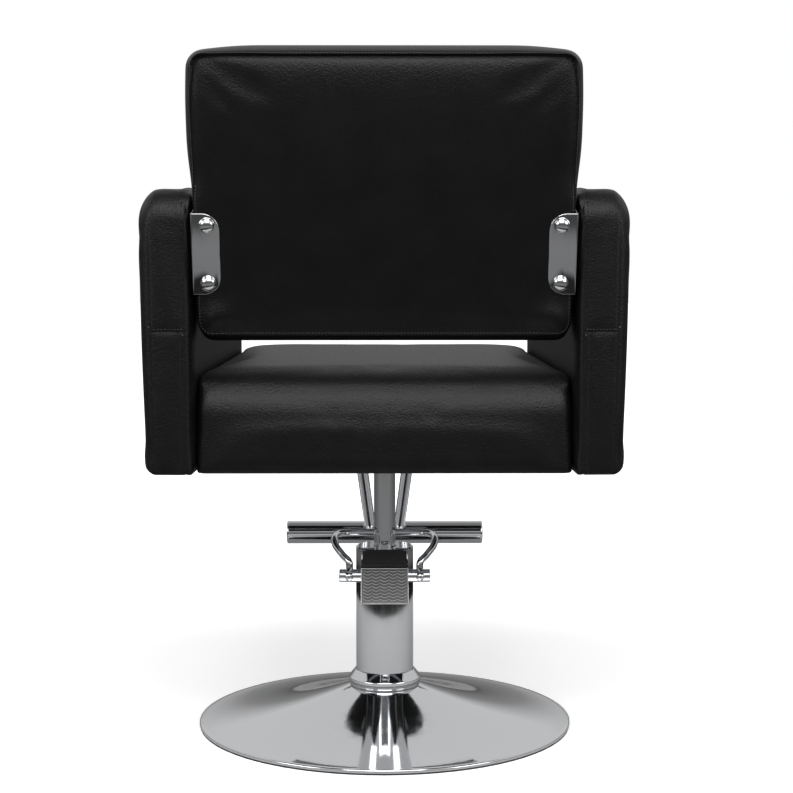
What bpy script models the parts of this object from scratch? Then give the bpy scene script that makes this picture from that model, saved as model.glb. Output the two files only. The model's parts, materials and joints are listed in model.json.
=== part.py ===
# Hairdressing chair on a hydraulic pump column.
# Metres, +Z up, the chair faces -Y. The origin is on the floor, on the column's axis.
import math

import bmesh
import bpy
from mathutils import Matrix, Vector

# Clearances
FIT = 0.0003                    # gap between pieces that touch
SIDE_GAP = 0.0020               # seat cushion to arm pad
CAM_GAP = 0.0005                # shoe to cam, and nose to plunger
END_GAP = 0.0020                # piston to the cylinder's floor when the chair is down

# Base
BASE_RADIUS = 0.265
RIM_HEIGHT = 0.0047
FLOOR_RING_HEIGHT = 0.0020
FLOOR_RING_WIDTH = 0.0120
FLOOR_RING_INSET = 0.0008
DOME_SHEET = 0.0020
DOME_RISE = 0.052
DOME_POWER = 2.0
BASE_PLATE_THICKNESS = 0.008
COLLAR_RADIUS = 0.0515
COLLAR_BAND = 0.0090
COLLAR_CONE = 0.0105
COLLAR_FOOT = 0.0030

# Pump
COVER_RADIUS = 0.0408
COVER_WALL = 0.0015
COVER_TOP = 0.2505
CAP_THICKNESS = 0.0040
CAP_LIP = 0.0028
FLANGE_RADIUS = 0.068
FLANGE_THICKNESS = 0.010
FLANGE_BOLT_CIRCLE = 0.055
BODY_RADIUS = 0.0365
BODY_FLOOR = 0.0070
LINER_BORE = 0.0172
LINER_WALL = 0.0030
ROD_RADIUS = 0.01525
GUIDE_LENGTH = 0.030
WIPER_HEIGHT = 0.006
VALVE_BALL_RADIUS = 0.0042
PISTON_HEIGHT = 0.016
SEAL_HEIGHT = 0.0045
SEAL_WIDTH = 0.0026
WASHER_THICKNESS = 0.003
LIFT_DOWN = 0.075

# Cross pin, pedal and brake
PIN_RADIUS = 0.009
PIN_LENGTH = 0.127
PIN_BACK = 0.058                # from the column's axis to the pin
PIN_HEIGHT = 0.2225
LUG_INNER = 0.0200
LUG_THICKNESS = 0.0065
LUG_RADIUS = 0.0125
PEDAL_WIDTH = 0.0646
PEDAL_WALL = 0.0025
PEDAL_TOP_FRONT = 0.0320        # heights and lengths of the pedal are from the pin
PEDAL_TOP_REAR = 0.0205
PEDAL_FRONT = 0.0110
PEDAL_EDGE = 0.0505
PEDAL_TOE = 0.0755
PEDAL_TOE_DROP = 0.0250
PEDAL_CROWN = 0.0020
TREAD_THICKNESS = 0.0020
TREAD_MARGIN = 0.0008
GRIP_THICKNESS = 0.0012
GRIP_MARGIN = 0.0016
SLEEVE_WIDTH = 0.010
NOSE_WIDTH = 0.007
NOSE_HEIGHT = 0.008
NOSE_TIP = 0.004                # height of the nose under the plunger
PLUNGER_RADIUS = 0.0049
PLUNGER_LENGTH = 0.022
PLUNGER_SIDE = 0.0145           # plunger's distance from the chair's middle plane
PLUNGER_BACK = 0.0262
PEDAL_PRESS = math.radians(18)
CAM_WIDTH = 0.010
CAM_RADIUS = 0.0105
CAM_THROW = 0.0010
SHOE_RADIUS = 0.0038
LOOP_WIRE = 0.0050              # radius of the brake wire
LOOP_SOCKET = 0.0495
LOOP_HALF_WIDTH = 0.0708
LOOP_CROSSING = 0.031           # how far in front of the column's axis the wire crosses
LOOP_HEIGHT = 0.2685
CLAMP_HEAD_RADIUS = 0.0060
CLAMP_SHANK_RADIUS = 0.0030

# Chair
SEAT_BOTTOM = 0.392
SEAT_EDGE_HEIGHT = 0.129
SEAT_CROWN = 0.0085
SEAT_REAR = 0.255
SEAT_FRONT = 0.270
SEAT_BOARD_THICKNESS = 0.015
SEAT_BOARD_MARGIN = 0.035
SEAT_PLATE_WIDTH = 0.180
SEAT_PLATE_DEPTH = 0.150
SEAT_PLATE_THICKNESS = 0.005
SEAT_BOLT_INSET = 0.020
HUB_HEIGHT = 0.018
HUB_RADIUS = 0.026
STRAP_WIDTH = 0.030
STRAP_THICKNESS = 0.004
STRAP_PITCH = 0.240             # front strap to rear strap
ARM_INNER = 0.2445              # half the width between the arms, at their rear
ARM_THICKNESS = 0.0692
ARM_FOOT_THICKNESS = 0.0623
ARM_HEIGHT = 0.365
ARM_REAR = 0.270
ARM_DEPTH = 0.540
ARM_TOE_IN = math.radians(2.4)
ARM_TOP_EDGE = 0.035            # radius of the outer top edge
ARM_REAR_EDGE = 0.016
ARM_FOOT_EDGE = 0.010
ARM_CORNER = 0.032              # radius of the top corners, seen from the side
ARM_FOOT_CORNER = 0.010
ARM_BOARD_THICKNESS = 0.018
ARM_BOARD_INSET = 0.022         # from the inner face to the board
ARM_BOARD_MARGIN = 0.030
BACK_REAR = 0.250               # rear lower seam of the backrest
BACK_BOTTOM = 0.5693
BACK_HEIGHT = 0.3586            # between the lower and the upper rear seam
BACK_FLARE = 0.0060             # how much wider each side is at the top
BACK_THICKNESS = 0.060
BACK_REAR_CROWN = 0.0075
BACK_FRONT_CROWN = 0.016
BACK_TOP_BULGE = 0.0030
BACK_BOTTOM_BULGE = 0.0140
BACK_SIDE_BULGE = 0.0015
BACK_CORNER = 0.018
BACK_RECLINE = math.radians(13)
BACK_BOARD_THICKNESS = 0.015
BACK_BOARD_DEPTH = 0.015        # from the rear seam plane to the board
BACK_BOARD_MARGIN = 0.010
SEAM_DEPTH = 0.0020

# Brackets
BRACKET_SHEET = 0.0025
BRACKET_WIDTH = 0.0360
BRACKET_HEIGHT = 0.1040
BRACKET_BASE = 0.0560           # from the lower seam to the bracket
BRACKET_FLANGE = 0.0360
BRACKET_CORNER = 0.0220
BRACKET_STANDOFF = 0.0032
BRACKET_BOLT_INSET = 0.0150
BRACKET_BOLT_SPACING = 0.0745
DOME_HEAD_RADIUS = 0.0100
DOME_HEAD_HEIGHT = 0.0070

# Footrest
BAR_RADIUS = 0.0183
BAR_WALL = 0.0020
BAR_LENGTH = 0.314
BAR_FRONT = 0.330
BAR_HEIGHT = 0.218
BAR_PLUG = 0.0040
STRUT_RADIUS = 0.0088
STRUT_TOP_SPREAD = 0.0410
STRUT_FOOT_SPREAD = 0.0220
STRUT_TOP_FRONT = 0.208
FOOT_PLATE_WIDTH = 0.140
FOOT_PLATE_DEPTH = 0.050
FOOT_PLATE_THICKNESS = 0.005

# Fasteners: shank radius, head radius, head height
M8 = (0.0040, 0.0065, 0.0053)
M10 = (0.0050, 0.0080, 0.0064)
BOLT_BITE = 0.0120              # how deep a bolt goes into the wood behind its plate
PUMP_BOLT_BITE = 0.0055         # how deep a pump bolt goes into the base plate

# Facets
ROUND = 32
WIDE_ROUND = 48
DOME_ROUND = 72
DOME_RINGS = 8
ARC = 4                         # facets on a padded corner
SIDE = 3                        # points along a padded side
BACK_SIDE_POINTS = 5
WELD = 0.00001

# Heights that follow from the sizes above
RIM_BOTTOM = FLOOR_RING_HEIGHT + FIT
RIM_TOP = RIM_BOTTOM + RIM_HEIGHT
NECK_RADIUS = COVER_RADIUS + FIT
FLANGE_BOTTOM = BASE_PLATE_THICKNESS + FIT
FLANGE_TOP = FLANGE_BOTTOM + FLANGE_THICKNESS
BODY_TOP = COVER_TOP - DOME_SHEET
CAP_TOP = COVER_TOP + FIT + CAP_THICKNESS
LINER_RADIUS = LINER_BORE + LINER_WALL
BODY_BORE = LINER_RADIUS + FIT
LINER_BOTTOM = FLANGE_TOP + BODY_FLOOR + FIT
WIPER_TOP = CAP_TOP - CAP_LIP - FIT
WIPER_BOTTOM = WIPER_TOP - WIPER_HEIGHT
GUIDE_TOP = WIPER_BOTTOM - FIT
GUIDE_BOTTOM = GUIDE_TOP - GUIDE_LENGTH
LINER_TOP = GUIDE_BOTTOM - FIT
GUIDE_BORE = ROD_RADIUS + FIT
PISTON_BOTTOM = LINER_BOTTOM + END_GAP + LIFT_DOWN
WASHER_BOTTOM = PISTON_BOTTOM + PISTON_HEIGHT + FIT
ROD_BOTTOM = WASHER_BOTTOM + WASHER_THICKNESS + FIT
UNDERSIDE = SEAT_BOTTOM - FIT   # top of the steel under the seat board
HUB_TOP = UNDERSIDE - SEAT_PLATE_THICKNESS - FIT
FLANGE_FRONT = BACK_REAR - BRACKET_FLANGE       # the narrowest place for a bracket beside the arm
BACK_SIDE = ARM_INNER - (ARM_REAR - FLANGE_FRONT) * math.tan(ARM_TOE_IN) - FIT - BRACKET_SHEET
BACK_HALF_WIDTH = BACK_SIDE - FIT - BACK_SIDE_BULGE

FINISHES = {                    # colour, roughness, metallic
    "chrome": ((0.62, 0.62, 0.63), 0.08, 1.0),
    "steel": ((0.36, 0.37, 0.38), 0.35, 1.0),
    "iron": ((0.05, 0.05, 0.05), 0.60, 0.6),
    "brass": ((0.62, 0.45, 0.16), 0.30, 1.0),
    "rubber": ((0.02, 0.02, 0.02), 0.70, 0.0),
    "plywood": ((0.50, 0.35, 0.20), 0.65, 0.0),
    "leatherette": ((0.012, 0.012, 0.012), 0.42, 0.0),
    "tread": ((0.10, 0.10, 0.10), 0.45, 1.0),
}


# Shared tools

def finish(name, kind):
    colour, roughness, metallic = FINISHES[kind]
    material = bpy.data.materials.new(name + "_" + kind)
    material.use_nodes = True
    shader = material.node_tree.nodes["Principled BSDF"]
    shader.inputs["Base Color"].default_value = (*colour, 1.0)
    shader.inputs["Roughness"].default_value = roughness
    shader.inputs["Metallic"].default_value = metallic
    return material


def add_object(name, mesh, kind, parent, location=(0, 0, 0), rotation=(0, 0, 0)):
    obj = bpy.data.objects.new(name, mesh)
    bpy.context.collection.objects.link(obj)
    obj.parent = parent
    obj.location = location
    obj.rotation_euler = rotation
    if kind:
        mesh.materials.append(finish(name, kind))
    else:
        obj.hide_render = True
        obj.display_type = "WIRE"
    return obj


def close_mesh(name, bm, sharp=35):
    bmesh.ops.remove_doubles(bm, verts=bm.verts, dist=WELD)
    bmesh.ops.recalc_face_normals(bm, faces=bm.faces)
    mesh = bpy.data.meshes.new(name)
    bm.to_mesh(mesh)
    bm.free()
    mesh.shade_smooth()
    mesh.set_sharp_from_angle(angle=math.radians(sharp))
    return mesh


def frame(name, location=(0, 0, 0), rotation=(0, 0, 0), parent=None):
    empty = bpy.data.objects.new(name, None)
    bpy.context.collection.objects.link(empty)
    empty.parent = parent
    empty.location = location
    empty.rotation_euler = rotation
    return empty


def turned_mesh(name, profile, steps=ROUND):
    # The profile is (radius, height) pairs. It is a ring unless it touches the axis.
    bm = bmesh.new()
    verts = [bm.verts.new((radius, 0, height)) for radius, height in profile]
    edges = [bm.edges.new(pair) for pair in zip(verts, verts[1:])]
    if min(radius for radius, height in profile) > 0:
        edges.append(bm.edges.new((verts[-1], verts[0])))
    bmesh.ops.spin(bm, geom=verts + edges, cent=(0, 0, 0), axis=(0, 0, 1),
                   angle=2 * math.pi, steps=steps, use_merge=True)
    bmesh.ops.dissolve_degenerate(bm, dist=WELD, edges=bm.edges)
    return close_mesh(name, bm)


def turned(name, profile, kind, parent, steps=ROUND, **place):
    return add_object(name, turned_mesh(name, profile, steps), kind, parent, **place)


def tube_profile(inner, outer, bottom, top):
    return [(outer, top), (outer, bottom), (inner, bottom), (inner, top)]


def block(name, low, high, kind, parent, **place):
    bm = bmesh.new()
    size = Vector(high) - Vector(low)
    middle = (Vector(high) + Vector(low)) / 2
    bmesh.ops.create_cube(bm, size=1.0, matrix=Matrix.Translation(middle) @ Matrix.Diagonal((*size, 1)))
    return add_object(name, close_mesh(name, bm), kind, parent, **place)


def prism(name, outline, half_width, kind, parent, shift=0.0, **place):
    # The outline is (y, z) pairs, extruded along X.
    bm = bmesh.new()
    face = bm.faces.new([bm.verts.new((shift - half_width, y, z)) for y, z in outline])
    made = bmesh.ops.extrude_face_region(bm, geom=[face])
    moved = [item for item in made["geom"] if isinstance(item, bmesh.types.BMVert)]
    bmesh.ops.translate(bm, verts=moved, vec=(2 * half_width, 0, 0))
    return add_object(name, close_mesh(name, bm), kind, parent, **place)


def rod_between(name, start, end, radius, kind, parent, steps=ROUND):
    start, end = Vector(start), Vector(end)
    bm = bmesh.new()
    turn = Vector((0, 0, 1)).rotation_difference(end - start).to_matrix().to_4x4()
    bmesh.ops.create_cone(bm, cap_ends=True, segments=steps, radius1=radius, radius2=radius,
                          depth=(end - start).length,
                          matrix=Matrix.Translation((start + end) / 2) @ turn)
    return add_object(name, close_mesh(name, bm), kind, parent)


def shape(target, tool, operation="DIFFERENCE"):
    modifier = target.modifiers.new(tool.name, "BOOLEAN")
    modifier.operation = operation
    modifier.object = tool


def drill(target, name, start, end, radius, parent, steps=ROUND):
    shape(target, rod_between(name, start, end, radius, None, parent, steps))


def bolt_mesh(name, size, length, steps=16):
    # The head stands above the seat plane z = 0 and the shank hangs below it.
    shank, head, height = size
    chamfer = height / 4
    profile = [(0, height), (head - chamfer, height), (head, height - chamfer), (head, FIT),
               (shank, FIT), (shank, -length), (0, -length)]
    return turned_mesh(name, profile, steps)


def domed_mesh(name, shank, head, height, length, steps=24):
    arc = [(head * math.sin(math.radians(a)), FIT + height * math.cos(math.radians(a)))
           for a in (0, 20, 40, 60, 75, 90)]
    return turned_mesh(name, arc + [(shank, FIT), (shank, -length), (0, -length)], steps)


# Padded forms

def ring(low_u, high_u, low_v, high_v, radii, side=SIDE):
    # A rounded rectangle. The radii start at the low corner and go round with the points.
    centres = ((low_u + radii[0], low_v + radii[0], 180), (high_u - radii[1], low_v + radii[1], 270),
               (high_u - radii[2], high_v - radii[2], 0), (low_u + radii[3], high_v - radii[3], 90))
    arcs = []
    for (u, v, start), radius in zip(centres, radii):
        angles = [math.radians(start + 90 * k / ARC) for k in range(ARC + 1)]
        arcs.append([(u + radius * math.cos(a), v + radius * math.sin(a)) for a in angles])
    points = []
    for arc, following in zip(arcs, arcs[1:] + arcs[:1]):
        points += arc
        first, last = Vector(arc[-1]), Vector(following[0])
        points += [tuple(first.lerp(last, k / (side + 1))) for k in range(1, side + 1)]
    return points


def loft(name, rings, kind, parent, **place):
    bm = bmesh.new()
    rows = [[bm.verts.new(point) for point in points] for points in rings]
    for lower, upper in zip(rows, rows[1:]):
        for k in range(len(lower)):
            bm.faces.new((lower[k - 1], lower[k], upper[k], upper[k - 1]))
    bm.faces.new(list(reversed(rows[0])))
    bm.faces.new(rows[-1])
    return add_object(name, close_mesh(name, bm, 50), kind, parent, **place)


def edge_inset(depth, full, radius):
    # How far a rounded edge has turned in, at a depth short of the full one.
    past = max(0.0, depth - (full - radius))
    return radius - math.sqrt(max(0.0, radius ** 2 - min(past, radius) ** 2))


# Start from an empty scene

for old in list(bpy.data.objects):
    bpy.data.objects.remove(old, do_unlink=True)

base = frame("base_frame")
lift = frame("lift_axis")
chair = frame("swivel_axis", parent=lift)
pin_axis = frame("cross_pin_axis", (0, PIN_BACK, PIN_HEIGHT))
pedal_axis = frame("pedal_axis", parent=pin_axis)
brake_axis = frame("brake_axis", parent=pin_axis)


# Base

def dome_height(radius):
    return RIM_TOP + DOME_RISE * ((BASE_RADIUS - radius) / (BASE_RADIUS - NECK_RADIUS)) ** DOME_POWER


def dome_radius(height):
    share = ((height - RIM_TOP) / DOME_RISE) ** (1 / DOME_POWER)
    return BASE_RADIUS - (BASE_RADIUS - NECK_RADIUS) * share


def make_base():
    radii = [NECK_RADIUS + (BASE_RADIUS - NECK_RADIUS) * k / DOME_RINGS for k in range(DOME_RINGS + 1)]
    outer = [(radius, dome_height(radius)) for radius in radii]
    inner = [(radius, dome_height(radius) - DOME_SHEET) for radius in reversed(radii[:-1])]
    hem = [(BASE_RADIUS, RIM_BOTTOM), (BASE_RADIUS - DOME_SHEET, RIM_BOTTOM),
           (BASE_RADIUS - DOME_SHEET, RIM_TOP - DOME_SHEET)]
    turned("base_dome", outer + hem + inner, "chrome", base, DOME_ROUND)

    ring_outer = BASE_RADIUS - FLOOR_RING_INSET
    turned("floor_ring", tube_profile(ring_outer - FLOOR_RING_WIDTH, ring_outer, 0, FLOOR_RING_HEIGHT),
           "rubber", base, DOME_ROUND)

    plate_radius = dome_radius(BASE_PLATE_THICKNESS + FIT + DOME_SHEET)
    plate = turned("base_plate", [(0, BASE_PLATE_THICKNESS), (plate_radius, BASE_PLATE_THICKNESS),
                                  (plate_radius, 0), (0, 0)], "iron", base, DOME_ROUND)

    foot = dome_height(COLLAR_RADIUS) + FIT
    band = foot + COLLAR_FOOT
    shoulder = band + COLLAR_BAND
    lip = COLLAR_RADIUS - COLLAR_FOOT
    collar = [(NECK_RADIUS, shoulder + COLLAR_CONE), (COLLAR_RADIUS - COLLAR_FOOT / 3, shoulder),
              (COLLAR_RADIUS, shoulder - COLLAR_FOOT / 3), (COLLAR_RADIUS, band),
              (COLLAR_RADIUS - COLLAR_FOOT / 3, foot + COLLAR_FOOT / 3), (lip, dome_height(lip) + FIT),
              (NECK_RADIUS, dome_height(NECK_RADIUS) + FIT)]
    turned("base_collar", collar, "chrome", base, WIDE_ROUND)

    bolt = bolt_mesh("pump_bolt", M10, FLANGE_THICKNESS + PUMP_BOLT_BITE)
    hole = M10[0] + FIT
    for number in range(4):
        angle = math.radians(45 + 90 * number)
        x, y = FLANGE_BOLT_CIRCLE * math.cos(angle), FLANGE_BOLT_CIRCLE * math.sin(angle)
        add_object("pump_bolt_%d" % (number + 1), bolt.copy(), "steel", base, (x, y, FLANGE_TOP))
        bottom = FLANGE_TOP - FLANGE_THICKNESS - PUMP_BOLT_BITE - FIT
        drill(plate, "cut_plate_bolt_%d" % number, (x, y, bottom), (x, y, FLANGE_TOP), hole, base, 16)
        drill(bpy.data.objects["pump_body"], "cut_flange_bolt_%d" % number,
              (x, y, bottom), (x, y, FLANGE_TOP + FIT), hole, base, 16)


# Pump

def make_pump():
    floor = LINER_BOTTOM - FIT
    ball_seat = VALVE_BALL_RADIUS + FIT
    ball_floor = floor - 2 * VALVE_BALL_RADIUS + FIT
    profile = [(0, ball_floor), (ball_seat, ball_floor), (ball_seat, floor), (BODY_BORE, floor),
               (BODY_BORE, BODY_TOP), (BODY_RADIUS, BODY_TOP), (BODY_RADIUS, FLANGE_TOP),
               (FLANGE_RADIUS, FLANGE_TOP), (FLANGE_RADIUS, FLANGE_BOTTOM), (0, FLANGE_BOTTOM)]
    body = turned("pump_body", profile, "iron", base, WIDE_ROUND)
    lug_outer = LUG_INNER + LUG_THICKNESS
    for side in (-1, 1):
        name = "left" if side > 0 else "right"
        middle = side * (LUG_INNER + lug_outer) / 2
        arm = block("join_lug_arm_" + name,
                    (middle - LUG_THICKNESS / 2, BODY_BORE, PIN_HEIGHT - LUG_RADIUS),
                    (middle + LUG_THICKNESS / 2, PIN_BACK, PIN_HEIGHT + LUG_RADIUS), None, base)
        eye = rod_between("join_lug_eye_" + name, (middle - LUG_THICKNESS / 2, PIN_BACK, PIN_HEIGHT),
                          (middle + LUG_THICKNESS / 2, PIN_BACK, PIN_HEIGHT), LUG_RADIUS, None, base)
        shape(body, arm, "UNION")
        shape(body, eye, "UNION")
    core = rod_between("cut_body_bore", (0, 0, floor), (0, 0, BODY_TOP + FIT), BODY_BORE, None, base,
                       WIDE_ROUND)
    shape(body, core)
    drill(body, "cut_lug_bore", (-PIN_LENGTH, PIN_BACK, PIN_HEIGHT), (PIN_LENGTH, PIN_BACK, PIN_HEIGHT),
          PIN_RADIUS + FIT, base)
    reach = math.hypot(PEDAL_REACH, NOSE_DROP + NOSE_TIP)
    pocket_half = NOSE_WIDTH / 2 + FIT + CAM_GAP
    pocket_low = PIN_HEIGHT - NOSE_DROP - NOSE_HEIGHT - CAM_GAP
    pocket = block("cut_nose_pocket", (-PLUNGER_SIDE - pocket_half, PIN_BACK - reach - CAM_GAP, pocket_low),
                   (-PLUNGER_SIDE + pocket_half, PIN_BACK, POCKET_TOP), None, base)
    shape(body, pocket)
    drill(body, "cut_plunger_bore", (-PLUNGER_SIDE, PLUNGER_BACK, PLUNGER_BOTTOM - CAM_GAP),
          (-PLUNGER_SIDE, PLUNGER_BACK, PLUNGER_BOTTOM + PLUNGER_LENGTH + PLUNGER_TRAVEL + CAM_GAP),
          PLUNGER_RADIUS + FIT, base, 24)
    drill(body, "cut_shoe_bore", (0, 0, PIN_HEIGHT), (0, PIN_BACK, PIN_HEIGHT), SHOE_RADIUS + FIT, base, 24)

    bm = bmesh.new()
    bmesh.ops.create_icosphere(bm, subdivisions=2, radius=VALVE_BALL_RADIUS)
    add_object("valve_ball", close_mesh("valve_ball", bm), "steel", base,
               (0, 0, ball_floor + FIT + VALVE_BALL_RADIUS))

    turned("lift_cylinder", tube_profile(LINER_BORE, LINER_RADIUS, LINER_BOTTOM, LINER_TOP), "steel", base)
    guide = turned("rod_guide", tube_profile(GUIDE_BORE, LINER_RADIUS, GUIDE_BOTTOM, GUIDE_TOP),
                   "brass", base)
    drill(guide, "cut_guide_shoe", (0, 0, PIN_HEIGHT), (0, PIN_BACK, PIN_HEIGHT), SHOE_RADIUS + FIT, base, 24)
    turned("rod_wiper", tube_profile(GUIDE_BORE, LINER_RADIUS, WIPER_BOTTOM, WIPER_TOP), "rubber", base)

    cover_inside = COVER_RADIUS - COVER_WALL
    cover = turned("pump_cover", tube_profile(cover_inside, COVER_RADIUS, FLANGE_TOP + FIT, COVER_TOP),
                   "chrome", base, WIDE_ROUND)
    window = lug_outer + FIT + CAM_GAP
    opening = block("cut_cover_window", (-window, SHOE_RADIUS, PIN_HEIGHT - NOSE_DROP - 2 * NOSE_HEIGHT),
                    (window, PIN_BACK, PIN_HEIGHT + LUG_RADIUS + FIT + CAM_GAP), None, base)
    shape(cover, opening)
    spigot = COVER_RADIUS - COVER_WALL - FIT
    bevel = CAP_THICKNESS / 4
    cap = [(GUIDE_BORE + CAM_GAP, CAP_TOP), (COVER_RADIUS - bevel, CAP_TOP), (COVER_RADIUS, CAP_TOP - bevel),
           (COVER_RADIUS, COVER_TOP + FIT), (spigot, COVER_TOP + FIT), (spigot, BODY_TOP + FIT),
           (BODY_BORE, BODY_TOP + FIT), (BODY_BORE, WIPER_TOP + FIT), (GUIDE_BORE + CAM_GAP, WIPER_TOP + FIT)]
    turned("pump_top_cap", cap, "chrome", base, WIDE_ROUND)


# Lift

def make_lift():
    radius = LINER_BORE - FIT
    groove = radius - SEAL_WIDTH
    low = PISTON_BOTTOM + (PISTON_HEIGHT - SEAL_HEIGHT) / 2
    high = low + SEAL_HEIGHT
    top = PISTON_BOTTOM + PISTON_HEIGHT
    turned("lift_piston", [(0, top), (radius, top), (radius, high + FIT), (groove - FIT, high + FIT),
                           (groove - FIT, low - FIT), (radius, low - FIT), (radius, PISTON_BOTTOM),
                           (0, PISTON_BOTTOM)], "steel", lift)
    turned("piston_seal", tube_profile(groove, radius, low, high), "rubber", lift)
    washer_top = WASHER_BOTTOM + WASHER_THICKNESS
    turned("thrust_washer", [(0, washer_top), (ROD_RADIUS, washer_top),
                             (ROD_RADIUS, WASHER_BOTTOM), (0, WASHER_BOTTOM)], "brass", lift)
    turned("piston_rod", [(0, HUB_TOP), (ROD_RADIUS, HUB_TOP), (ROD_RADIUS, ROD_BOTTOM), (0, ROD_BOTTOM)],
           "chrome", chair)
    waist = (HUB_RADIUS + ROD_RADIUS) / 2
    bore = ROD_RADIUS + FIT
    turned("swivel_hub", [(HUB_RADIUS, HUB_TOP), (HUB_RADIUS, HUB_TOP - HUB_HEIGHT / 2),
                          (waist, HUB_TOP - HUB_HEIGHT), (bore, HUB_TOP - HUB_HEIGHT), (bore, HUB_TOP)],
           "steel", chair)


# Pedal. Its frame is on the cross pin.

NOSE_DROP = PIN_RADIUS + 0.0015                 # from the pin's axis down to the top of the nose
PEDAL_REACH = PIN_BACK - PLUNGER_BACK + PLUNGER_RADIUS
PLUNGER_BOTTOM = PIN_HEIGHT - NOSE_DROP + CAM_GAP
PLUNGER_TRAVEL = 1.02 * (PEDAL_REACH * math.sin(PEDAL_PRESS) + NOSE_DROP * (1 - math.cos(PEDAL_PRESS)))
POCKET_TOP = PLUNGER_BOTTOM + PLUNGER_TRAVEL + 2 * CAM_GAP


def make_pedal():
    half = PEDAL_WIDTH / 2
    side_foot = -NOSE_DROP - 0.0035
    outline = [(-PEDAL_FRONT, PEDAL_TOP_FRONT), (PEDAL_EDGE, PEDAL_TOP_REAR), (PEDAL_TOE, -PEDAL_TOE_DROP),
               (PEDAL_TOE - NOSE_HEIGHT, -PEDAL_TOE_DROP - PEDAL_WALL / 2), (-PEDAL_FRONT / 3, side_foot),
               (-PEDAL_FRONT, side_foot + NOSE_HEIGHT)]
    lean = math.atan2(PEDAL_TOE - PEDAL_EDGE, PEDAL_TOP_REAR + PEDAL_TOE_DROP)
    slices = []
    for k in range(9):
        share = -1 + k / 4
        crown = PEDAL_CROWN * (1 - share ** 2)
        raised = [(outline[0][0], outline[0][1] + crown),
                  (outline[1][0] - crown * math.tan(lean), outline[1][1] + crown)]
        slices.append([(half * share, y, z) for y, z in raised + outline[2:]])
    pedal = loft("pump_pedal", slices, "chrome", pedal_axis)

    wall = PEDAL_WALL / math.cos(lean)
    slope = (PEDAL_TOP_FRONT - PEDAL_TOP_REAR) / (PEDAL_EDGE + PEDAL_FRONT)
    beyond = 2 * PEDAL_FRONT
    deep = 2 * PEDAL_TOE_DROP
    inner_edge = PEDAL_EDGE - wall - PEDAL_WALL * math.tan(lean)
    inner_toe = inner_edge + (PEDAL_TOP_REAR + deep) * math.tan(lean)
    hollow = prism("cut_pedal_hollow",
                   [(-beyond, PEDAL_TOP_FRONT + slope * PEDAL_FRONT - PEDAL_WALL),
                    (inner_edge, PEDAL_TOP_REAR - PEDAL_WALL), (inner_toe, -deep - PEDAL_WALL),
                    (-beyond, -deep - PEDAL_WALL)], half - PEDAL_WALL, None, pedal_axis)
    shape(pedal, hollow)

    web_rear = PIN_RADIUS + 0.001
    nose = [(-PEDAL_FRONT / 2, PEDAL_TOP_FRONT - PEDAL_WALL / 2), (web_rear, PEDAL_TOP_FRONT - PEDAL_WALL),
            (web_rear, 0), (PEDAL_FRONT / 4, -NOSE_DROP),
            (-PEDAL_REACH + PLUNGER_RADIUS * 2, -NOSE_DROP - NOSE_HEIGHT),
            (-PEDAL_REACH, -NOSE_DROP - NOSE_TIP), (-PEDAL_REACH, -NOSE_DROP),
            (-PEDAL_REACH + PLUNGER_RADIUS * 2, -NOSE_DROP), (-PEDAL_FRONT / 2, PEDAL_FRONT / 2)]
    shape(pedal, prism("join_pedal_nose", nose, NOSE_WIDTH / 2, None, pedal_axis, -PLUNGER_SIDE), "UNION")
    sleeve = rod_between("join_pedal_sleeve", (-PLUNGER_SIDE - SLEEVE_WIDTH / 2, 0, 0),
                         (-PLUNGER_SIDE + SLEEVE_WIDTH / 2, 0, 0), LUG_RADIUS, None, pedal_axis)
    shape(pedal, sleeve, "UNION")
    drill(pedal, "cut_pedal_pin", (-PEDAL_WIDTH, 0, 0), (PEDAL_WIDTH, 0, 0), PIN_RADIUS + FIT, pedal_axis)

    length = (PEDAL_TOP_REAR + PEDAL_TOE_DROP) / math.cos(lean)
    tread = frame("tread_frame", (0, PEDAL_EDGE, PEDAL_TOP_REAR), (lean, 0, 0), pedal_axis)
    block("pedal_tread", (-half + TREAD_MARGIN, FIT, -length + TREAD_MARGIN),
          (half - TREAD_MARGIN, FIT + TREAD_THICKNESS, -TREAD_MARGIN), "tread", tread)

    # Rubber grip glued on the crowned top of the pedal, its outline taken from the same curve.
    fall = Vector((0, PEDAL_EDGE + PEDAL_FRONT, PEDAL_TOP_REAR - PEDAL_TOP_FRONT)).normalized()
    rise = Vector((1, 0, 0)).cross(fall)
    slices = []
    for k in range(9):
        x = (half - GRIP_MARGIN) * (-1 + k / 4)
        crown = PEDAL_CROWN * (1 - (x / half) ** 2)
        begin = Vector((x, -PEDAL_FRONT, PEDAL_TOP_FRONT + crown)) + fall * GRIP_MARGIN
        finish = Vector((x, PEDAL_EDGE - crown * math.tan(lean), PEDAL_TOP_REAR + crown)) - fall * GRIP_MARGIN
        slices.append([begin + rise * (FIT + GRIP_THICKNESS), finish + rise * (FIT + GRIP_THICKNESS),
                       finish + rise * FIT, begin + rise * FIT])
    loft("pedal_grip", slices, "rubber", pedal_axis)

    top = PLUNGER_BOTTOM + PLUNGER_LENGTH
    turned("pump_plunger",
           [(0, top), (PLUNGER_RADIUS, top), (PLUNGER_RADIUS, PLUNGER_BOTTOM), (0, PLUNGER_BOTTOM)],
           "steel", base, 24, location=(-PLUNGER_SIDE, PLUNGER_BACK, 0))


# Brake. Its frame is on the cross pin.

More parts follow.
